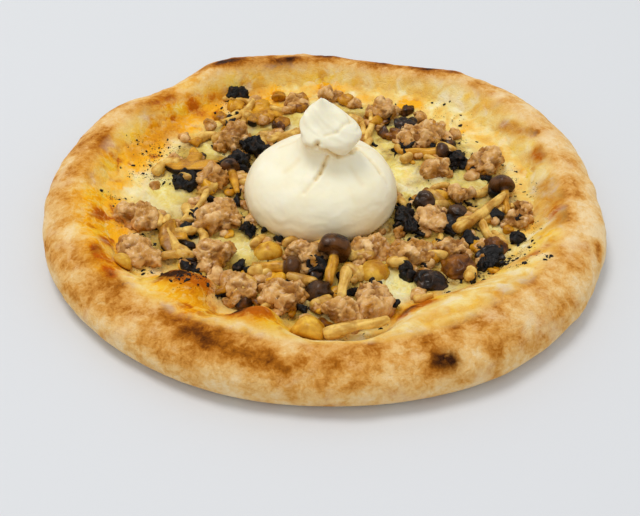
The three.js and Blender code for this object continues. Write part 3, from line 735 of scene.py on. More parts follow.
def remeshed(names, voxel):
    """Each node's surface as an even mesh of quads: a list of (points, faces, edges)."""
    work = []
    for name in names:
        copy = bpy.data.objects.new("work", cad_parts[name].data.copy())
        bpy.context.scene.collection.objects.link(copy)
        even = copy.modifiers.new("even", "REMESH")
        even.mode = "VOXEL"
        even.voxel_size = voxel * MM
        work.append(copy)
    depsgraph = bpy.context.evaluated_depsgraph_get()
    made = []
    for copy in work:
        mesh = copy.evaluated_get(depsgraph).data
        co = np.empty(len(mesh.vertices) * 3)
        mesh.vertices.foreach_get("co", co)
        corners = np.empty(len(mesh.loops), np.int32)
        mesh.loops.foreach_get("vertex_index", corners)
        ends = np.empty(len(mesh.edges) * 2, np.int32)
        mesh.edges.foreach_get("vertices", ends)
        made.append((co.reshape(-1, 3) / MM, corners.reshape(-1, 4), ends.reshape(-1, 2)))
    for copy in work:
        data = copy.data
        bpy.data.objects.remove(copy)
        bpy.data.meshes.remove(data)
    return made


def smoothed(points, edges, rounds):
    """Points moved towards the middle of their neighbours, over and over."""
    ends = np.concatenate([edges, edges[:, ::-1]])
    count = np.maximum(np.bincount(ends[:, 0], minlength=len(points)), 1)
    for turn in range(rounds):
        total = [np.bincount(ends[:, 0], points[ends[:, 1], axis], len(points)) for axis in range(3)]
        points = 0.4 * points + 0.6 * np.stack(total, 1) / count[:, None]
    return points


def volume_and_area(points, faces):
    """Of a closed mesh of quads."""
    across = face_normals(points, faces) / 2
    middles = points[faces].mean(1)
    return (across * middles).sum() / 3, np.linalg.norm(across, axis=1).sum()


def plumped(points, faces, edges, rounds):
    """Points smoothed till the facets are gone, then swollen back to the volume that they had."""
    before, _ = volume_and_area(points, faces)
    points = smoothed(points, edges, rounds)
    after, area = volume_and_area(points, faces)
    return points + point_normals(points, faces) * (before - after) / area


def joined(parts):
    """Several (points, faces, values) as one."""
    starts = np.cumsum([0] + [len(points) for points, _, _ in parts[:-1]])
    points = np.concatenate([points for points, _, _ in parts])
    faces = np.concatenate([faces + start for start, (_, faces, _) in zip(starts, parts)])
    values = {key: np.concatenate([v[key] for _, _, v in parts]) for key in parts[0][2]}
    return points, faces, values


def grown_piece(name, nodes, voxel, rounds, dress, material, slot):
    """One piece for all the nodes: each is smoothed, then given relief and colours by dress."""
    parts = []
    for number, (points, faces, edges) in enumerate(remeshed(nodes, voxel)):
        points = plumped(points, faces, edges, rounds)
        parts.append(dress(points, faces, number))
    points, faces, values = joined(parts)
    return make_piece(name, points, faces, material, nodes, slot, values)


# ---- The burrata ----
BURRATA_AXIS = np.array([-2.5, -2.0])
BURRATA_FOLDS = [  # creases in the skin: from, to, width, depth
    [(1.2, -17.4, 48.1), (-0.4, -18.5, 44.5), 1.0, 1.6],
    [(-0.4, -18.5, 44.5), (-2.4, -21.5, 41.6), 1.0, 1.6],
    [(-2.4, -21.5, 41.6), (-5, -24.5, 39.6), 1.1, 1.2],
    [(-5, -24.5, 39.6), (-10.5, -29.7, 35.6), 1.1, 0.5], [(19, 2, 41), (24.5, -3.8, 37.7), 1.4, 0.7],
    [(24.5, -3.8, 37.7), (29, -9.8, 34.2), 1.5, 0.7], [(29, -9.8, 34.2), (32, -13, 30), 1.6, 0.4],
    [(26, 12, 35), (33, 4, 30), 1.6, 0.5], [(14, -16, 42), (20, -24, 38), 1.8, 0.35],
    [(-14, -12, 43), (-22, -17, 40), 1.8, 0.4], [(-12, 2, 44), (-24, 6, 38), 1.6, 0.6],
    [(-6, 12, 44), (-13, 22, 38), 1.5, 0.7], [(6, 13, 44), (11, 24, 37), 1.6, 0.6],
    [(14, 6, 43), (25, 12, 37), 1.6, 0.5],
]
KNOT_FOLDS = [  # creases in the knot, in the same way
    [(12, -3, 67), (13, -7, 63), 1.2, 0.7], [(13, -7, 63), (9, -11, 63.5), 0.9, 0.5],
    [(9, -11, 63.5), (6, -13.5, 60.5), 0.8, 0.5], [(6, -13.5, 60.5), (0, -15.5, 60.5), 0.9, 0.45],
    [(-4.4, -18.1, 57.2), (-5.2, -18.3, 55.6), 1.3, 3.0], [(-4.9, -18.5, 55), (0.1, -19.8, 52), 1.1, 1.3],
    [(0.1, -19.8, 52), (6.3, -14.3, 47.2), 1.2, 1.9], [(6.3, -14.3, 47.2), (12.8, -5.1, 43), 1.2, 1.9],
    [(12.8, -5.1, 43), (17.3, 4.6, 40.4), 1.3, 1.4], [(-5.9, -18.3, 54.6), (-9, -16, 53.5), 1.2, 1.1],
    [(-9, -16, 53.5), (-12.6, -11, 53), 1.3, 1.0],
]
KNOT_TIP = np.array([-2.4, -4.0])
KNOT_TAPER = 0.3
NECK_ROUNDS = 280  # of smoothing, which fill out the neck
TIP_HEIGHT = 8.0
TIP_WIDTH = 4.6
KNOT_LOBES = [  # where the knot swells or draws in: middle, radius, how far out
    [(9.5, -5, 65.5), 4, 1.2], [(16, -2, 62), 5, 0.8], [(9, -15, 52), 6, 2.6], [(16, -8, 52), 6, 1.6],
    [(-10, -15, 53), 4, 1.6], [(-14, -6, 66), 4, 0.8],
]


def burrata_form(points, faces):
    """The grown surface with its neck filled out and its knot narrowed towards the top."""
    sides = np.concatenate([faces[:, [0, 1]], faces[:, [1, 2]], faces[:, [2, 3]], faces[:, [3, 0]]])
    filled = smoothed(points, sides, NECK_ROUNDS)
    at_neck = step(points[:, 2], 32, 39) * step(points[:, 2], 56, 50)
    points = points + at_neck[:, None] * (filled - points)
    narrow = 1 - KNOT_TAPER * step(points[:, 2], 61, 71)
    points[:, :2] = KNOT_TIP + (points[:, :2] - KNOT_TIP) * narrow[:, None]
    return points


def burrata_relief(points):
    """Pleats under the knot, sagging wrinkles low down, and windings on the knot."""
    x, y = (points[:, :2] - BURRATA_AXIS).T
    turn, radius = np.arctan2(y, x), np.hypot(x, y)
    neck = step(radius, 34, 15) * step(points[:, 2], 47, 41) * step(points[:, 2], 22, 34)
    swirl = np.column_stack([on_circle(turn) * 9, radius * 0.10])
    depth = 0.35 * rough(points, 24, 311, 2) + 0.16 * rough(points, 5, 321, 3)
    depth += 0.9 * neck * rough(swirl, 3.2, 301, 2)
    sag = points * (1, 1, 2) + 5 * noise(points, 14, 335)[:, None]
    depth += 0.4 * rough(sag, (13, 13, 9), 331, 3) * step(points[:, 2], 38, 18)
    wound = np.column_stack([points[:, :2] * 0.4, points[:, 2] + 0.45 * points[:, 0]])
    windings = 0.5 * rough(wound, (9, 9, 3.4), 341, 3) - 0.8 * np.abs(rough(wound, (7, 7, 2.6), 345, 2))
    return depth + step(points[:, 2], 46, 50) * windings


def burrata_dress(points, faces, number):
    """A thin skin drawn up under a twisted knot, with lobes, creases and a pinched tip. The creases are
    also marked for painted shade in the colour, and the bottom for a yellower tint with painted shade.
    """
    points = burrata_form(points, faces)
    normals = point_normals(points, faces)
    on_skin = lambda place: points[np.linalg.norm(points - place, axis=1).argmin()]
    depth = burrata_relief(points)
    for middle, size, out_by in KNOT_LOBES:
        middle = on_skin(middle)
        depth += out_by * marked(points, [[middle, middle, size, 1.0]])
    # painted shade along the creases, kept for the colour
    crease_shading = np.zeros(len(points))
    for start, end, width, deep in BURRATA_FOLDS + KNOT_FOLDS:
        start, end = on_skin(start), on_skin(end)
        line = marked(points, [[start, end, width, 1.0]])
        shoulder = marked(points, [[start, end, width * 2.6, 1.0]])
        depth += deep * (0.3 * shoulder - line * 1.1)
        crease_shading = np.maximum(crease_shading, line * min(deep, 1.5) / 1.5)
    from_tip = np.linalg.norm(points[:, :2] - KNOT_TIP, axis=1)
    lift = TIP_HEIGHT * np.exp(-from_tip / TIP_WIDTH) * step(points[:, 2], 60, 66)
    points = points + normals * depth[:, None] + (0, 0, 1) * lift[:, None]
    # low marks the bottom of the pouch, which the colour makes darker and yellower: partly its own tint,
    # partly painted shade
    return points, faces, {"crease_shade": np.clip(crease_shading, 0, 1), "low": step(points[:, 2], 32, 8)}


def burrata_material():
    paint = Paint("fresh_cheese")
    cloud = paint.noise(18, 3, 0.3)
    fine = paint.noise(1.8, 4)
    colour = paint.ramp(cloud, [(0.3, (250, 240, 206)), (0.7, (255, 249, 224))])
    # darker and yellower towards the bottom: partly a yellower tint of the cheese, partly painted shade
    colour = paint.layers(colour, ((234, 208, 140), "low", cloud, 0.3, 0.7, 0.45, 0.7))
    # painted shade: the creases darkened yellow-brown
    colour = paint.mix(paint.times(paint.value("crease_shade"), 0.6), colour, (222, 184, 84))
    height = paint.plus(cloud, paint.times(fine, 0.25))
    roughness = paint.span(cloud, 0.3, 0.7, 0.36, 0.48)
    return paint.finish(colour, roughness, height, 0.12, 0.3, (0.25, (1.0, 0.85, 0.5), 3 * MM))


grown_piece("burrata_pouch", ["burrata"], 0.8, 70, burrata_dress, burrata_material(), "fresh_cheese")


# ---- Sausage ----
def sausage_relief(points, normals, seed):
    """Torn, crumbly meat: lumps, grains and ragged tufts. Also how deep in a hollow each point is, for the
    painted shade in the hollows.
    """
    bend = drift(points, 8, seed + 31)
    warped = points + 3 * bend
    lumps = rough(warped, (9, 9, 7), seed + 2, 2)
    tears = ridged(warped, (5.5, 5.5, 4), seed + 4)
    crumbs = rough(points, 2.7, seed + 5, 3, 0.7)
    flake = cells(warped, 4.6, seed + 1)[1]
    grain = cells(warped, 2.3, seed + 7)[1]
    pick = 0.55 * flake + 0.45 * grain
    uneven = 1.5 * lumps + 0.8 * (tears - 0.4) + 0.6 * crumbs
    uneven = uneven + 2.0 * (flake - 0.5) + 0.8 * (grain - 0.5)
    moved = points + (2.4, 2.4, 1.0) * bend + normals * (0.4 + uneven)[:, None]
    return moved, step(-uneven, -0.3, 1.3), pick


def sausage_values(points, hollow_shade, pick, number, seed):
    tone = hashed(np.array([[number, 3, 5]]), 7)[0] % 1000 / 1000
    raised = (points[:, 2] - points[:, 2].min()) / np.ptp(points[:, 2])
    browned = 0.4 * tone + 1.4 * rough(points, 7, seed + 13, 3) + 0.9 * step(raised, 0.65, 0.15)
    return {"pick": pick, "hollow_shade": hollow_shade, "browned": np.clip(browned, 0, 1)}


def sausage_dress(points, faces, number):
    seed = 400 + 17 * number
    normals = point_normals(points, faces)
    points, hollow_shade, pick = sausage_relief(points, normals, seed)
    return points, faces, sausage_values(points, hollow_shade, pick, number, seed)


def sausage_material():
    paint = Paint("cooked_sausage")
    patches = paint.noise(5, 5, 0.6)
    fine = paint.noise(1.0, 4)
    meat = paint.ramp(patches, [(0.3, (166, 106, 34)), (0.5, (216, 163, 90)), (0.7, (244, 206, 146))])
    grain = paint.ramp(paint.value("pick"), [
        (0.1, (186, 124, 46)), (0.5, (218, 166, 90)), (0.9, (246, 208, 150)),
    ])
    colour = paint.mix(0.5, meat, grain)
    fat = paint.span(paint.noise(2.0, 4, 0.6), 0.54, 0.66, 0, 0.6)
    colour = paint.mix(fat, colour, (248, 216, 180))
    brown = paint.ramp(fine, [(0.3, (128, 68, 0)), (0.7, (202, 132, 14))])
    colour = paint.layers(colour, (brown, "browned", patches, 0.3, 0.7, 0.5, 1.2))
    # painted shade: the hollows of the meat darkened brown
    colour = paint.mix(paint.times(paint.value("hollow_shade"), 0.65), colour, (118, 64, 6))
    height = paint.plus(patches, paint.times(fine, 0.5))
    roughness = paint.span(fine, 0.3, 0.7, 0.34, 0.55)
    return paint.finish(colour, roughness, height, 0.5, 0.14, (0.06, (1.0, 0.5, 0.3), 1.5 * MM))


sausage_skin = sausage_material()
grown_piece("sausage_chunks", numbered("sausage"), 0.65, 7, sausage_dress, sausage_skin, "sausage")


# ---- Mushrooms ----
def long_axis(points):
    """The middle of some points and the direction they stretch furthest in."""
    middle = points.mean(0)
    direction = np.linalg.svd((points - middle)[::7], full_matrices=False)[2][0]
    return middle, direction


def lengthways(points):
    """Place along the piece (mm from its thin end, and its length), and the distance from its axis."""
    middle, direction = long_axis(points)
    along = (points - middle) @ direction
    aside = np.linalg.norm((points - middle) - along[:, None] * direction, axis=1)
    ends = np.percentile(along, [15, 85])
    if aside[along < ends[0]].mean() > aside[along > ends[1]].mean():
        along = -along
    return along - along.min(), np.ptp(along), aside


def rind_of(normals):
    """The dark skin along the curved side of a cut cap, on its side nearer to -Y."""
    return step(-normals[:, 1], 0.30, 0.55) * step(normals[:, 2], 0.75, 0.55)


def mushroom_dress(kind):
    """Relief and colours for stems, whole mushrooms, caps or cut slices."""

    def dress(points, faces, number):
        seed = 700 + 31 * number + 7 * len(kind)
        points = points + (0.9, 0.9, 0.5) * drift(points, 11, seed + 11)
        normals = point_normals(points, faces)
        along, length, aside = lengthways(points)
        middle, direction = long_axis(points)
        depth = 0.30 * rough(points, 7, seed, 2) + 0.04 * rough(points, 1.8, seed + 3, 2)
        cap, rind = np.zeros(len(points)), np.zeros(len(points))
        if kind == "mushroom":
            widest = along[aside > 0.72 * aside.max()]
            start = widest.min() if len(widest) else length
            cap = step(along, start - 1.6, start - 0.2)
        elif kind in ("brown_cap", "dark_cap", "golden_cap"):
            cap = np.ones(len(points))
        elif kind == "mushroom_slice":
            rind = rind_of(normals)
        if kind in ("brown_cap", "dark_cap"):
            depth += 1.3 * (ridged(points, (7, 7, 5), seed + 7) - 0.5)
        drawn_in = np.outer((points - middle) @ direction, direction) * 0.9
        fibre = noise(points - drawn_in, 1.1, seed + 5)
        depth += 0.03 * (1 - cap) * fibre
        points = points + normals * depth[:, None]
        tone = np.full(len(points), hashed(np.array([[number, len(kind), 9]]), 11)[0] % 1000 / 1000)
        return points, faces, {
            "cap": cap, "fibre": np.clip(0.5 + 0.7 * fibre, 0, 1), "tone": tone, "rind": rind,
        }

    return dress


def mushroom_material(name, flesh, skin, dark):
    """Cooked mushroom: flesh colours for the stem, skin colours for the cap, dark stained patches."""
    paint = Paint(name)
    patches = paint.noise(6, 4, 0.5)
    fine = paint.noise(1.1, 4)
    grain = paint.plus(paint.times(paint.value("fibre"), 0.2), paint.times(patches, 0.8))
    stem = paint.ramp(grain, [(0.3, flesh[0]), (0.62, flesh[1])])
    cap = paint.ramp(patches, [(0.35, skin[0]), (0.65, skin[1])])
    colour = paint.mix(paint.value("cap"), stem, cap)
    uneven = paint.plus(paint.noise(8, 3, 1.0), paint.times(paint.value("tone"), 0.15))
    colour = paint.mix(paint.span(uneven, 0.55, 0.8, 0.0, 0.75), colour, dark)
    colour = paint.mix(paint.value("rind"), colour, (30, 20, 14))
    height = paint.plus(patches, paint.times(fine, 0.3))
    roughness = paint.span(fine, 0.3, 0.7, 0.2, 0.38)
    return paint.finish(colour, roughness, height, 0.25, 0.22, (0.1, (1.0, 0.6, 0.2), 1.5 * MM))


GOLDEN_FLESH = [(176, 112, 6), (232, 174, 56)]
PALE_FLESH = [(190, 130, 28), (242, 202, 108)]
SLICE_FLESH = [(168, 106, 2), (218, 158, 40)]
GOLDEN_SKIN = [(190, 126, 6), (242, 194, 72)]
BROWN_SKIN = [(74, 36, 6), (150, 90, 16)]
DARK_SKIN = [(26, 15, 8), (82, 54, 30)]
HEAD_SKIN = [(38, 20, 8), (104, 66, 32)]
KINDS = {  # name of the piece, flesh, skin, stain, material slot
    "mushroom": ("whole_mushrooms", GOLDEN_FLESH, HEAD_SKIN, (104, 60, 14), "mushroom"),
    "mushroom_stem": ("mushroom_stems", PALE_FLESH, GOLDEN_SKIN, (150, 92, 18), "mushroom_stem"),
    "mushroom_slice": ("mushroom_slices", SLICE_FLESH, BROWN_SKIN, (120, 72, 12), "mushroom_flesh"),
    "brown_cap": ("brown_caps", GOLDEN_FLESH, BROWN_SKIN, (58, 28, 8), "brown_cap"),
    "dark_cap": ("dark_caps", GOLDEN_FLESH, DARK_SKIN, (18, 13, 10), "dark_cap"),
    "golden_cap": ("golden_caps", GOLDEN_FLESH, GOLDEN_SKIN, (158, 98, 12), "golden_cap"),
}
skins = {}
for kind, (name, flesh, skin, dark, slot) in KINDS.items():
    skins[kind] = mushroom_material(name + "_skin", flesh, skin, dark)
    rounds = 7 if kind == "mushroom_slice" else 18
    grown_piece(name, numbered(kind), 0.56, rounds, mushroom_dress(kind), skins[kind], slot)


# ---- Blackened shreds ----
def shred_dress(points, faces, number):
    """Frilled, curled edges, as thin flesh takes when it burns."""
    normals = point_normals(points, faces)
    seed = 900 + 13 * number
    points = points + 1.6 * drift(points, 5, seed + 21)
    ridge = ridged(points, (5.5, 5.5, 8), seed)
    curl = 1 - 2 * np.abs(noise(points, (2.6, 2.6, 5), seed + 3))
    depth = 2.6 * (ridge - 0.45) + 0.5 * (curl - 0.4) + 0.15 * rough(points, 1.2, seed + 7, 2)
    return points + normals * depth[:, None], faces, {"ridge": np.clip(ridge, 0, 1)}


def shred_material():
    paint = Paint("blackened_mushroom")
    fine = paint.noise(0.9, 4)
    patches = paint.noise(3, 3, 0.5)
    colour = paint.ramp(patches, [(0.4, (6, 5, 5)), (0.58, (22, 15, 11)), (0.75, (76, 50, 26))])
    return paint.finish(colour, paint.span(fine, 0.3, 0.7, 0.3, 0.6), paint.plus(fine, patches), 0.5, 0.25)


charred_skin = shred_material()
grown_piece("black_shreds", numbered("black_shred"), 0.5, 2, shred_dress, charred_skin, "charred")

# ---- Small things that lie between the toppings ----
draw = np.random.default_rng(11)


def ball(level):
    """A round ball of triangles, of radius 1."""
    shape = bmesh.new()
    bmesh.ops.create_icosphere(shape, subdivisions=level, radius=1)
    shape.verts.index_update()
    points = np.array([v.co[:] for v in shape.verts])
    faces = np.array([[v.index for v in face.verts] for face in shape.faces])
    shape.free()
    return points, faces


BALLS = {level: ball(level) for level in (2, 3, 4)}


def ground(x, y):
    """The height of the cheese or the crust, whichever is higher."""
    return max(drop(tree, x, y) or 0 for tree in (crust_tree, cheese_tree))


def spun(points, turn, tilt=0.0):
    """Points tipped over about X, then turned about Z."""
    c, s = math.cos(tilt), math.sin(tilt)
    points = points @ np.array([[1, 0, 0], [0, c, s], [0, -s, c]])
    c, s = math.cos(turn), math.sin(turn)
    return points @ np.array([[c, s, 0], [-s, c, 0], [0, 0, 1]])


def places_beside_toppings(count, low=0.05, high=0.6, reach=104):
    """Random places on the cheese next to toppings, out of the bare puddles."""
    found = []
    while len(found) < count:
        x, y = draw.uniform(-reach, reach, 2)
        beside = map_value(near_map, np.array([[x, y, 0]]))[0]
        bare = any(math.hypot(x - px, y - py) < size for px, py, size in PUDDLES)
        if low < beside < high and math.hypot(x, y) < reach and not bare:
            found.append((x, y))
    return found


def lump(x, y, size, level, sink=0.3):
    """A crumb or a scrap: a ball of the given size, turned at random, on the ground."""
    unit, faces = BALLS[level]
    points = spun(unit * np.array(size) / 2, draw.uniform(0, 6.28), draw.uniform(-0.3, 0.3))
    points = points + (x, y, ground(x, y) + size[2] * (0.5 - sink))
    return points, faces, point_normals(points, faces)


def sized(count, least, most, shares, *where):
    """Random places beside toppings, each with a size: x, y, length, width, height."""
    listed = []
    for place in places_beside_toppings(count, *where):
        across = draw.uniform(least, most)
        listed.append((*place, *(across * share for share in shares)))
    return listed


def scattered(name, listed, shape, material, slot):
    """One piece for all that is listed: shape makes each from its number and its line."""
    points, faces, values = joined([shape(number, *line) for number, line in enumerate(listed)])
    make_piece(name, points, faces, material, (), slot, values)


SAUSAGE_BITS = [  # x, y, length, width, height
    (24, -91, 16, 13, 11), (-19, 102, 13, 14, 10), (47, 56, 14, 9, 8), (106, -12, 11, 7, 9),
    (-14, -84, 9, 7, 6), (-48, 18, 8, 6, 6), (-55, -68, 10, 8, 6), (38, -46, 9, 7, 6), (70, -50, 8, 6, 5),
    (84, 22, 8, 7, 5), (-30, 62, 10, 8, 7), (-60, 52, 9, 8, 6), (30, 88, 9, 8, 6), (62, 68, 9, 8, 6),
    (4, 108, 14, 10, 9), (-20, 94, 9, 8, 7), (-70, 74, 9, 7, 6), (58, 84, 9, 8, 7), (20, 100, 9, 7, 6),
    (-84, 62, 8, 6, 5), (78, 66, 8, 7, 6), (-44, 104, 8, 7, 6), (44, 92, 9, 7, 6), (-96, 14, 7, 6, 5),
]
SAUSAGE_CRUMBS = 130


def sausage_bit(number, x, y, *size):
    """A torn bit of sausage, the rounder the smaller it is."""
    seed = 1200 + 23 * number
    points, faces, normals = lump(x, y, size, 4 if max(size) > 8 else 3)
    torn, hollow_shade, pick = sausage_relief(points, normals, seed)
    points = points + (torn - points) * min(1.0, max(size) / 12)
    return points, faces, sausage_values(points, hollow_shade, pick, number, seed)


sausage_sizes = SAUSAGE_BITS + sized(SAUSAGE_CRUMBS, 2.4, 7.0, (1.2, 1.0, 0.8))
scattered("sausage_crumbs", sausage_sizes, sausage_bit, sausage_skin, "sausage")

SMALL_CAPS = [  # x, y, across, height, skin: 0 golden, 0.5 brown, 1 nearly black
    (-69, -54, 8, 6, 0.9), (-40, -86, 8, 7, 0.8), (-2, -88, 9, 7, 0.1), (-5, -64, 8, 7, 0.9),
    (97, 11, 11, 8, 1.0), (-22, -68, 9, 7, 0.05), (49, 74, 15, 9, 0.9), (-26, 76, 12, 8, 0.35),
    (-29, 108, 9, 7, 0.3), (-15, 108, 9, 8, 0.25), (42, 61, 12, 7, 0.5), (-65, 9, 9, 7, 0.0),
    (78, -44, 9, 6, 0.15), (54, -53, 9, 8, 0.2), (-47, 22, 8, 6, 0.9), (66, -22, 11, 7, 1.0),
    (84, -50, 14, 6, 1.0), (48, -68, 10, 7, 1.0), (36, 66, 9, 6, 0.7), (-74, -48, 7, 6, 0.1),
    (-40, 94, 15, 9, 0.1), (-34, 84, 13, 8, 0.2), (-28, 74, 10, 7, 0.7), (14, 104, 10, 8, 0.2),
    (-14, 96, 9, 7, 0.4), (52, 92, 9, 7, 0.8), (-56, 96, 11, 8, 0.1), (-64, 86, 9, 6, 0.3),
    (64, 76, 10, 7, 0.3), (-76, 56, 9, 6, 0.2), (72, 56, 9, 6, 0.8), (30, 76, 10, 7, 0.2),
]
MORE_CAPS = 56
SKINS = [0.0, 0.1, 0.2, 0.3, 0.5, 0.9]


def more_caps():
    listed = []
    for x, y in places_beside_toppings(MORE_CAPS):
        across = draw.uniform(4.0, 8.5)
        listed.append((x, y, across, across * 0.55, draw.choice(SKINS)))
    return listed


def small_cap(number, x, y, across, height, skin):
    """A cap with a dimple in its top. The darker its skin, the more it has shrivelled."""
    level = 4 if across > 9 else 3
    points, faces, normals = lump(x, y, (across, across * 0.85, height), level)
    seed = 1900 + 7 * number
    points = points + (2.4, 2.4, 1.0) * drift(points, 6, seed + 11)
    depth = 0.8 * rough(points, 5, seed, 2) + 0.2 * rough(points, 1.8, seed + 3, 2)
    depth += 1.2 * skin * (ridged(points, (6, 6, 4), seed + 7) - 0.6)
    unit, _ = BALLS[level]
    depth -= 1.3 * np.exp(-((unit[:, 0] ** 2 + unit[:, 1] ** 2) / 0.12)) * (unit[:, 2] > 0)
    return points + normals * depth[:, None], faces, {"skin": np.full(len(points), skin)}


def small_cap_material():
    paint = Paint("small_cap_skin")
    patches = paint.noise(4, 4, 0.5)
    fine = paint.noise(1.1, 4)
    shade = paint.plus(paint.value("skin"), paint.span(patches, 0.3, 0.7, -0.16, 0.16))
    colour = paint.ramp(shade, [
        (0.0, (228, 168, 36)), (0.25, (186, 122, 4)), (0.5, (118, 66, 2)),
        (0.85, (44, 24, 6)), (1.0, (18, 11, 6)),
    ])
    height = paint.plus(patches, paint.times(fine, 0.3))
    return paint.finish(colour, paint.span(fine, 0.3, 0.7, 0.2, 0.42), height, 0.3, 0.28)


scattered("small_caps", SMALL_CAPS + more_caps(), small_cap, small_cap_material(), "brown_cap")

SMALL_STEMS = [  # from x, y, to x, y, thickness
    (81, 1, 92, 11, 4.6), (-46, 90, -51, 72, 3.9), (20, 84, 23, 62, 3.3), (13, -72, 15, -60, 3.6),
    (-84, -52, -70, -49, 4.6), (-35, -66, -24, -60, 5.0), (-50, 16, -46, 25, 3.2), (-36, 100, -24, 92, 3.8),
    (-64, 102, -44, 100, 3.4), (66, 52, 76, 44, 4.4), (50, -52, 62, -53, 4.6), (-8, -88, 3, -84, 5.0),
    (-70, 4, -60, 11, 5.0), (86, -8, 97, -14, 4.2), (-30, -76, -20, -78, 4.4), (58, 8, 70, 12, 4.0),
]
MORE_STEMS = 70
STEMS_REACH = 106
STEM_STEPS = 18
STEM_SIDES = 12


def stem_between(x0, y0, x1, y1, thick, bow, seed):
    """A stem that lies from one place to another, bowed, with rounded ends of unlike width."""
    shares = (1 - np.cos(np.linspace(0, math.pi, STEM_STEPS))) / 2
    lying = np.array([(x0, y0, ground(x0, y0)), (x1, y1, ground(x1, y1))])
    route = lying[0] + shares[:, None] * (lying[1] - lying[0]) + (0, 0, thick * 0.32)
    length = np.linalg.norm(lying[1] - lying[0])
    aside = np.array([y0 - y1, x1 - x0, 0]) / length
    hump = 4 * shares * (1 - shares)
    route = route + bow * length * hump[:, None] * aside + (0, 0, 1) * (0.06 * length * hump)[:, None]
    to_end = np.minimum(shares, 1 - shares) * length
    rounding = np.sqrt(1 - (1 - np.clip(to_end / (thick * 0.5), 0, 1)) ** 2)
    radii = thick / 2 * (0.85 + 0.35 * shares) * rounding + 0.03
    along = np.gradient(route, axis=0)
    along /= np.linalg.norm(along, axis=1)[:, None]
    side = np.cross(along, (0, 0, 1.0))
    side /= np.linalg.norm(side, axis=1)[:, None]
    up = np.cross(side, along)
    turn = np.linspace(0, 2 * math.pi, STEM_SIDES, endpoint=False)[None, :, None]
    ring = np.cos(turn) * side[:, None] - np.sin(turn) * up[:, None]
    points = (route[:, None] + radii[:, None, None] * ring).reshape(-1, 3)
    points = points + 0.35 * drift(points, 4, seed)
    quads = ring_faces(STEM_STEPS, STEM_SIDES)
    first, last = len(points), (STEM_STEPS - 1) * STEM_SIDES
    ends = fan(0, STEM_SIDES, first, True) + fan(last, STEM_SIDES, first + 1)
    faces = np.concatenate([quads[:, [0, 1, 2]], quads[:, [0, 2, 3]], ends])
    return np.concatenate([points, route[:1], route[-1:]]), faces


def more_stems():
    listed = []
    for x, y in places_beside_toppings(MORE_STEMS):
        turn, length = draw.uniform(0, 6.28), draw.uniform(7, 15)
        x1, y1 = x + math.cos(turn) * length, y + math.sin(turn) * length
        if math.hypot(x1, y1) < STEMS_REACH:
            listed.append((x, y, x1, y1, draw.uniform(3.0, 6.0)))
    return listed


def small_stem(number, x0, y0, x1, y1, thick):
    seed = 2300 + 11 * number
    points, faces = stem_between(x0, y0, x1, y1, thick, draw.uniform(-0.16, 0.16), seed)
    fibre = noise(points * (0.3, 0.3, 1), 0.9, seed + 5)
    flat = np.zeros(len(points))
    values = {"cap": flat, "rind": flat, "tone": flat + draw.uniform(0, 1)}
    values["fibre"] = np.clip(0.5 + 0.7 * fibre, 0, 1)
    return points, faces, values


scattered("small_stems", SMALL_STEMS + more_stems(), small_stem, skins["mushroom_stem"], "mushroom_stem")

BLACK_SCRAPS = [  # x, y, length, width, height
    (-40, -28, 9, 7, 5), (-71, -31, 6, 9, 5), (76, 36, 8, 12, 8), (48, 52, 17, 7, 5), (40, -62, 15, 5, 5),
    (99, -36, 8, 7, 5), (31, -87, 7, 6, 5), (-68, -60, 8, 7, 5), (-48, -4, 5, 6, 5), (75, -38, 9, 6, 5),
    (84, -53, 20, 6, 5), (-43, -58, 8, 4, 4), (-37, -62, 6, 4, 4), (-70, -16, 6, 9, 5), (64, -29, 10, 6, 6),
    (91, -18, 9, 5, 5), (-4, -59, 13, 8, 6), (-48, 27, 8, 7, 6), (60, -14, 9, 4, 5), (74, 30, 9, 3, 4),
    (93, 2, 8, 6, 6), (14, 106, 7, 6, 4), (-60, 26, 10, 6, 5), (-78, 20, 8, 5, 4), (47, 66, 8, 6, 5),
    (-92, -50, 9, 5, 4), (103, -22, 6, 5, 5), (8, -92, 6, 5, 4),
]
MORE_SCRAPS = 130


def black_scrap(number, x, y, *size):
    """A shrivelled scrap, the rounder the smaller it is."""
    seed = 2700 + 5 * number
    points, faces, normals = lump(x, y, size, 4 if max(size) > 8 else 3, 0.2)
    ridge = ridged(points, (3.6, 3.6, 6), seed + 3)
    moved = 2.4 * drift(points, 4, seed) + normals * (2.0 * (ridge - 0.4))[:, None]
    return points + min(1.0, max(size) / 9) * moved, faces, {"ridge": np.clip(ridge, 0, 1)}


scrap_sizes = BLACK_SCRAPS + sized(MORE_SCRAPS, 1.6, 5.5, (1.5, 0.7, 0.6), 0.03, 0.8)
scattered("black_scraps", scrap_sizes, black_scrap, charred_skin, "charred")

LOOSE_FLECKS = 280


def fleck_places():
    listed = []
    for x, y, spread, count in FLECKS:
        listed += [tuple(draw.normal((x, y), spread * 0.6)) for _ in range(count)]
    return listed + places_beside_toppings(LOOSE_FLECKS, 0.01, 0.9, 110)


def black_fleck(number, x, y):
    across = 0.4 + 1.3 * draw.random() ** 2
    points, faces, normals = lump(x, y, (across * 1.7, across * 0.8, across * 0.5), 2, 0.25)
    points = points + normals * (0.4 * across * noise(points, across * 0.7, 3100 + number))[:, None]
    return points, faces, {"ridge": np.full(len(points), 0.5)}


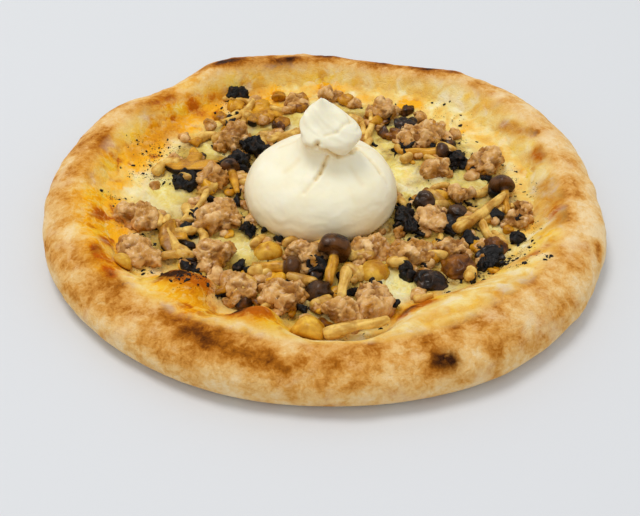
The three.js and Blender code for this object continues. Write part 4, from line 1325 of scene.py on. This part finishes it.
scattered("black_flecks", fleck_places(), black_fleck, charred_skin, "charred")

# ---- Floor, light and camera ----
FLOOR_REACH = 3.0  # metres from the middle, as all below
WINDOW_PLACE = (-0.6, 0.5, 2.7)
WINDOW_ACROSS = 1.2
WINDOW_POWER = 31
CAMERA_PLACE = (-0.0029, -0.4336, 0.3263)
CAMERA_DOWN = 39.6  # degrees below level


def floor():
    mesh = bpy.data.meshes.new("floor")
    corners = [(x * FLOOR_REACH, y * FLOOR_REACH, 0) for x, y in ((-1, -1), (1, -1), (1, 1), (-1, 1))]
    mesh.from_pydata(corners, [], [(0, 1, 2, 3)])
    paint = Paint("pale_floor")
    colour = paint.mix(paint.noise(900, 2), (216, 219, 222), (222, 224, 228))
    mesh.materials.append(paint.finish(colour, 0.6, paint.noise(3, 2), 0.01, 0.2))
    plane = bpy.data.objects.new("floor", mesh)
    bpy.context.scene.collection.objects.link(plane)


def window():
    """The one soft light, high behind and to the left."""
    light = bpy.data.lights.new("window", "AREA")
    light.shape = "DISK"
    light.size = WINDOW_ACROSS
    light.energy = WINDOW_POWER
    light.color = (1.0, 0.98, 0.95)
    lamp = bpy.data.objects.new("window", light)
    lamp.location = WINDOW_PLACE
    lamp.rotation_euler = (-Vector(WINDOW_PLACE)).to_track_quat("-Z", "Y").to_euler()
    bpy.context.scene.collection.objects.link(lamp)


def surroundings():
    world = bpy.data.worlds.new("studio")
    bpy.context.scene.world = world
    world.use_nodes = True
    background = world.node_tree.nodes["Background"]
    background.inputs["Color"].default_value = (0.98, 0.99, 1.0, 1)
    background.inputs["Strength"].default_value = 0.70


def camera():
    lens = bpy.data.cameras.new("camera")
    lens.lens = 55
    lens.sensor_width = 36
    lens.clip_start = 0.01
    eye = bpy.data.objects.new("camera", lens)
    eye.location = CAMERA_PLACE
    eye.rotation_euler = (math.radians(90 - CAMERA_DOWN), 0, 0)
    bpy.context.scene.collection.objects.link(eye)
    bpy.context.scene.camera = eye
    bpy.context.scene.view_settings.view_transform = "Standard"


floor()
surroundings()
window()
camera()
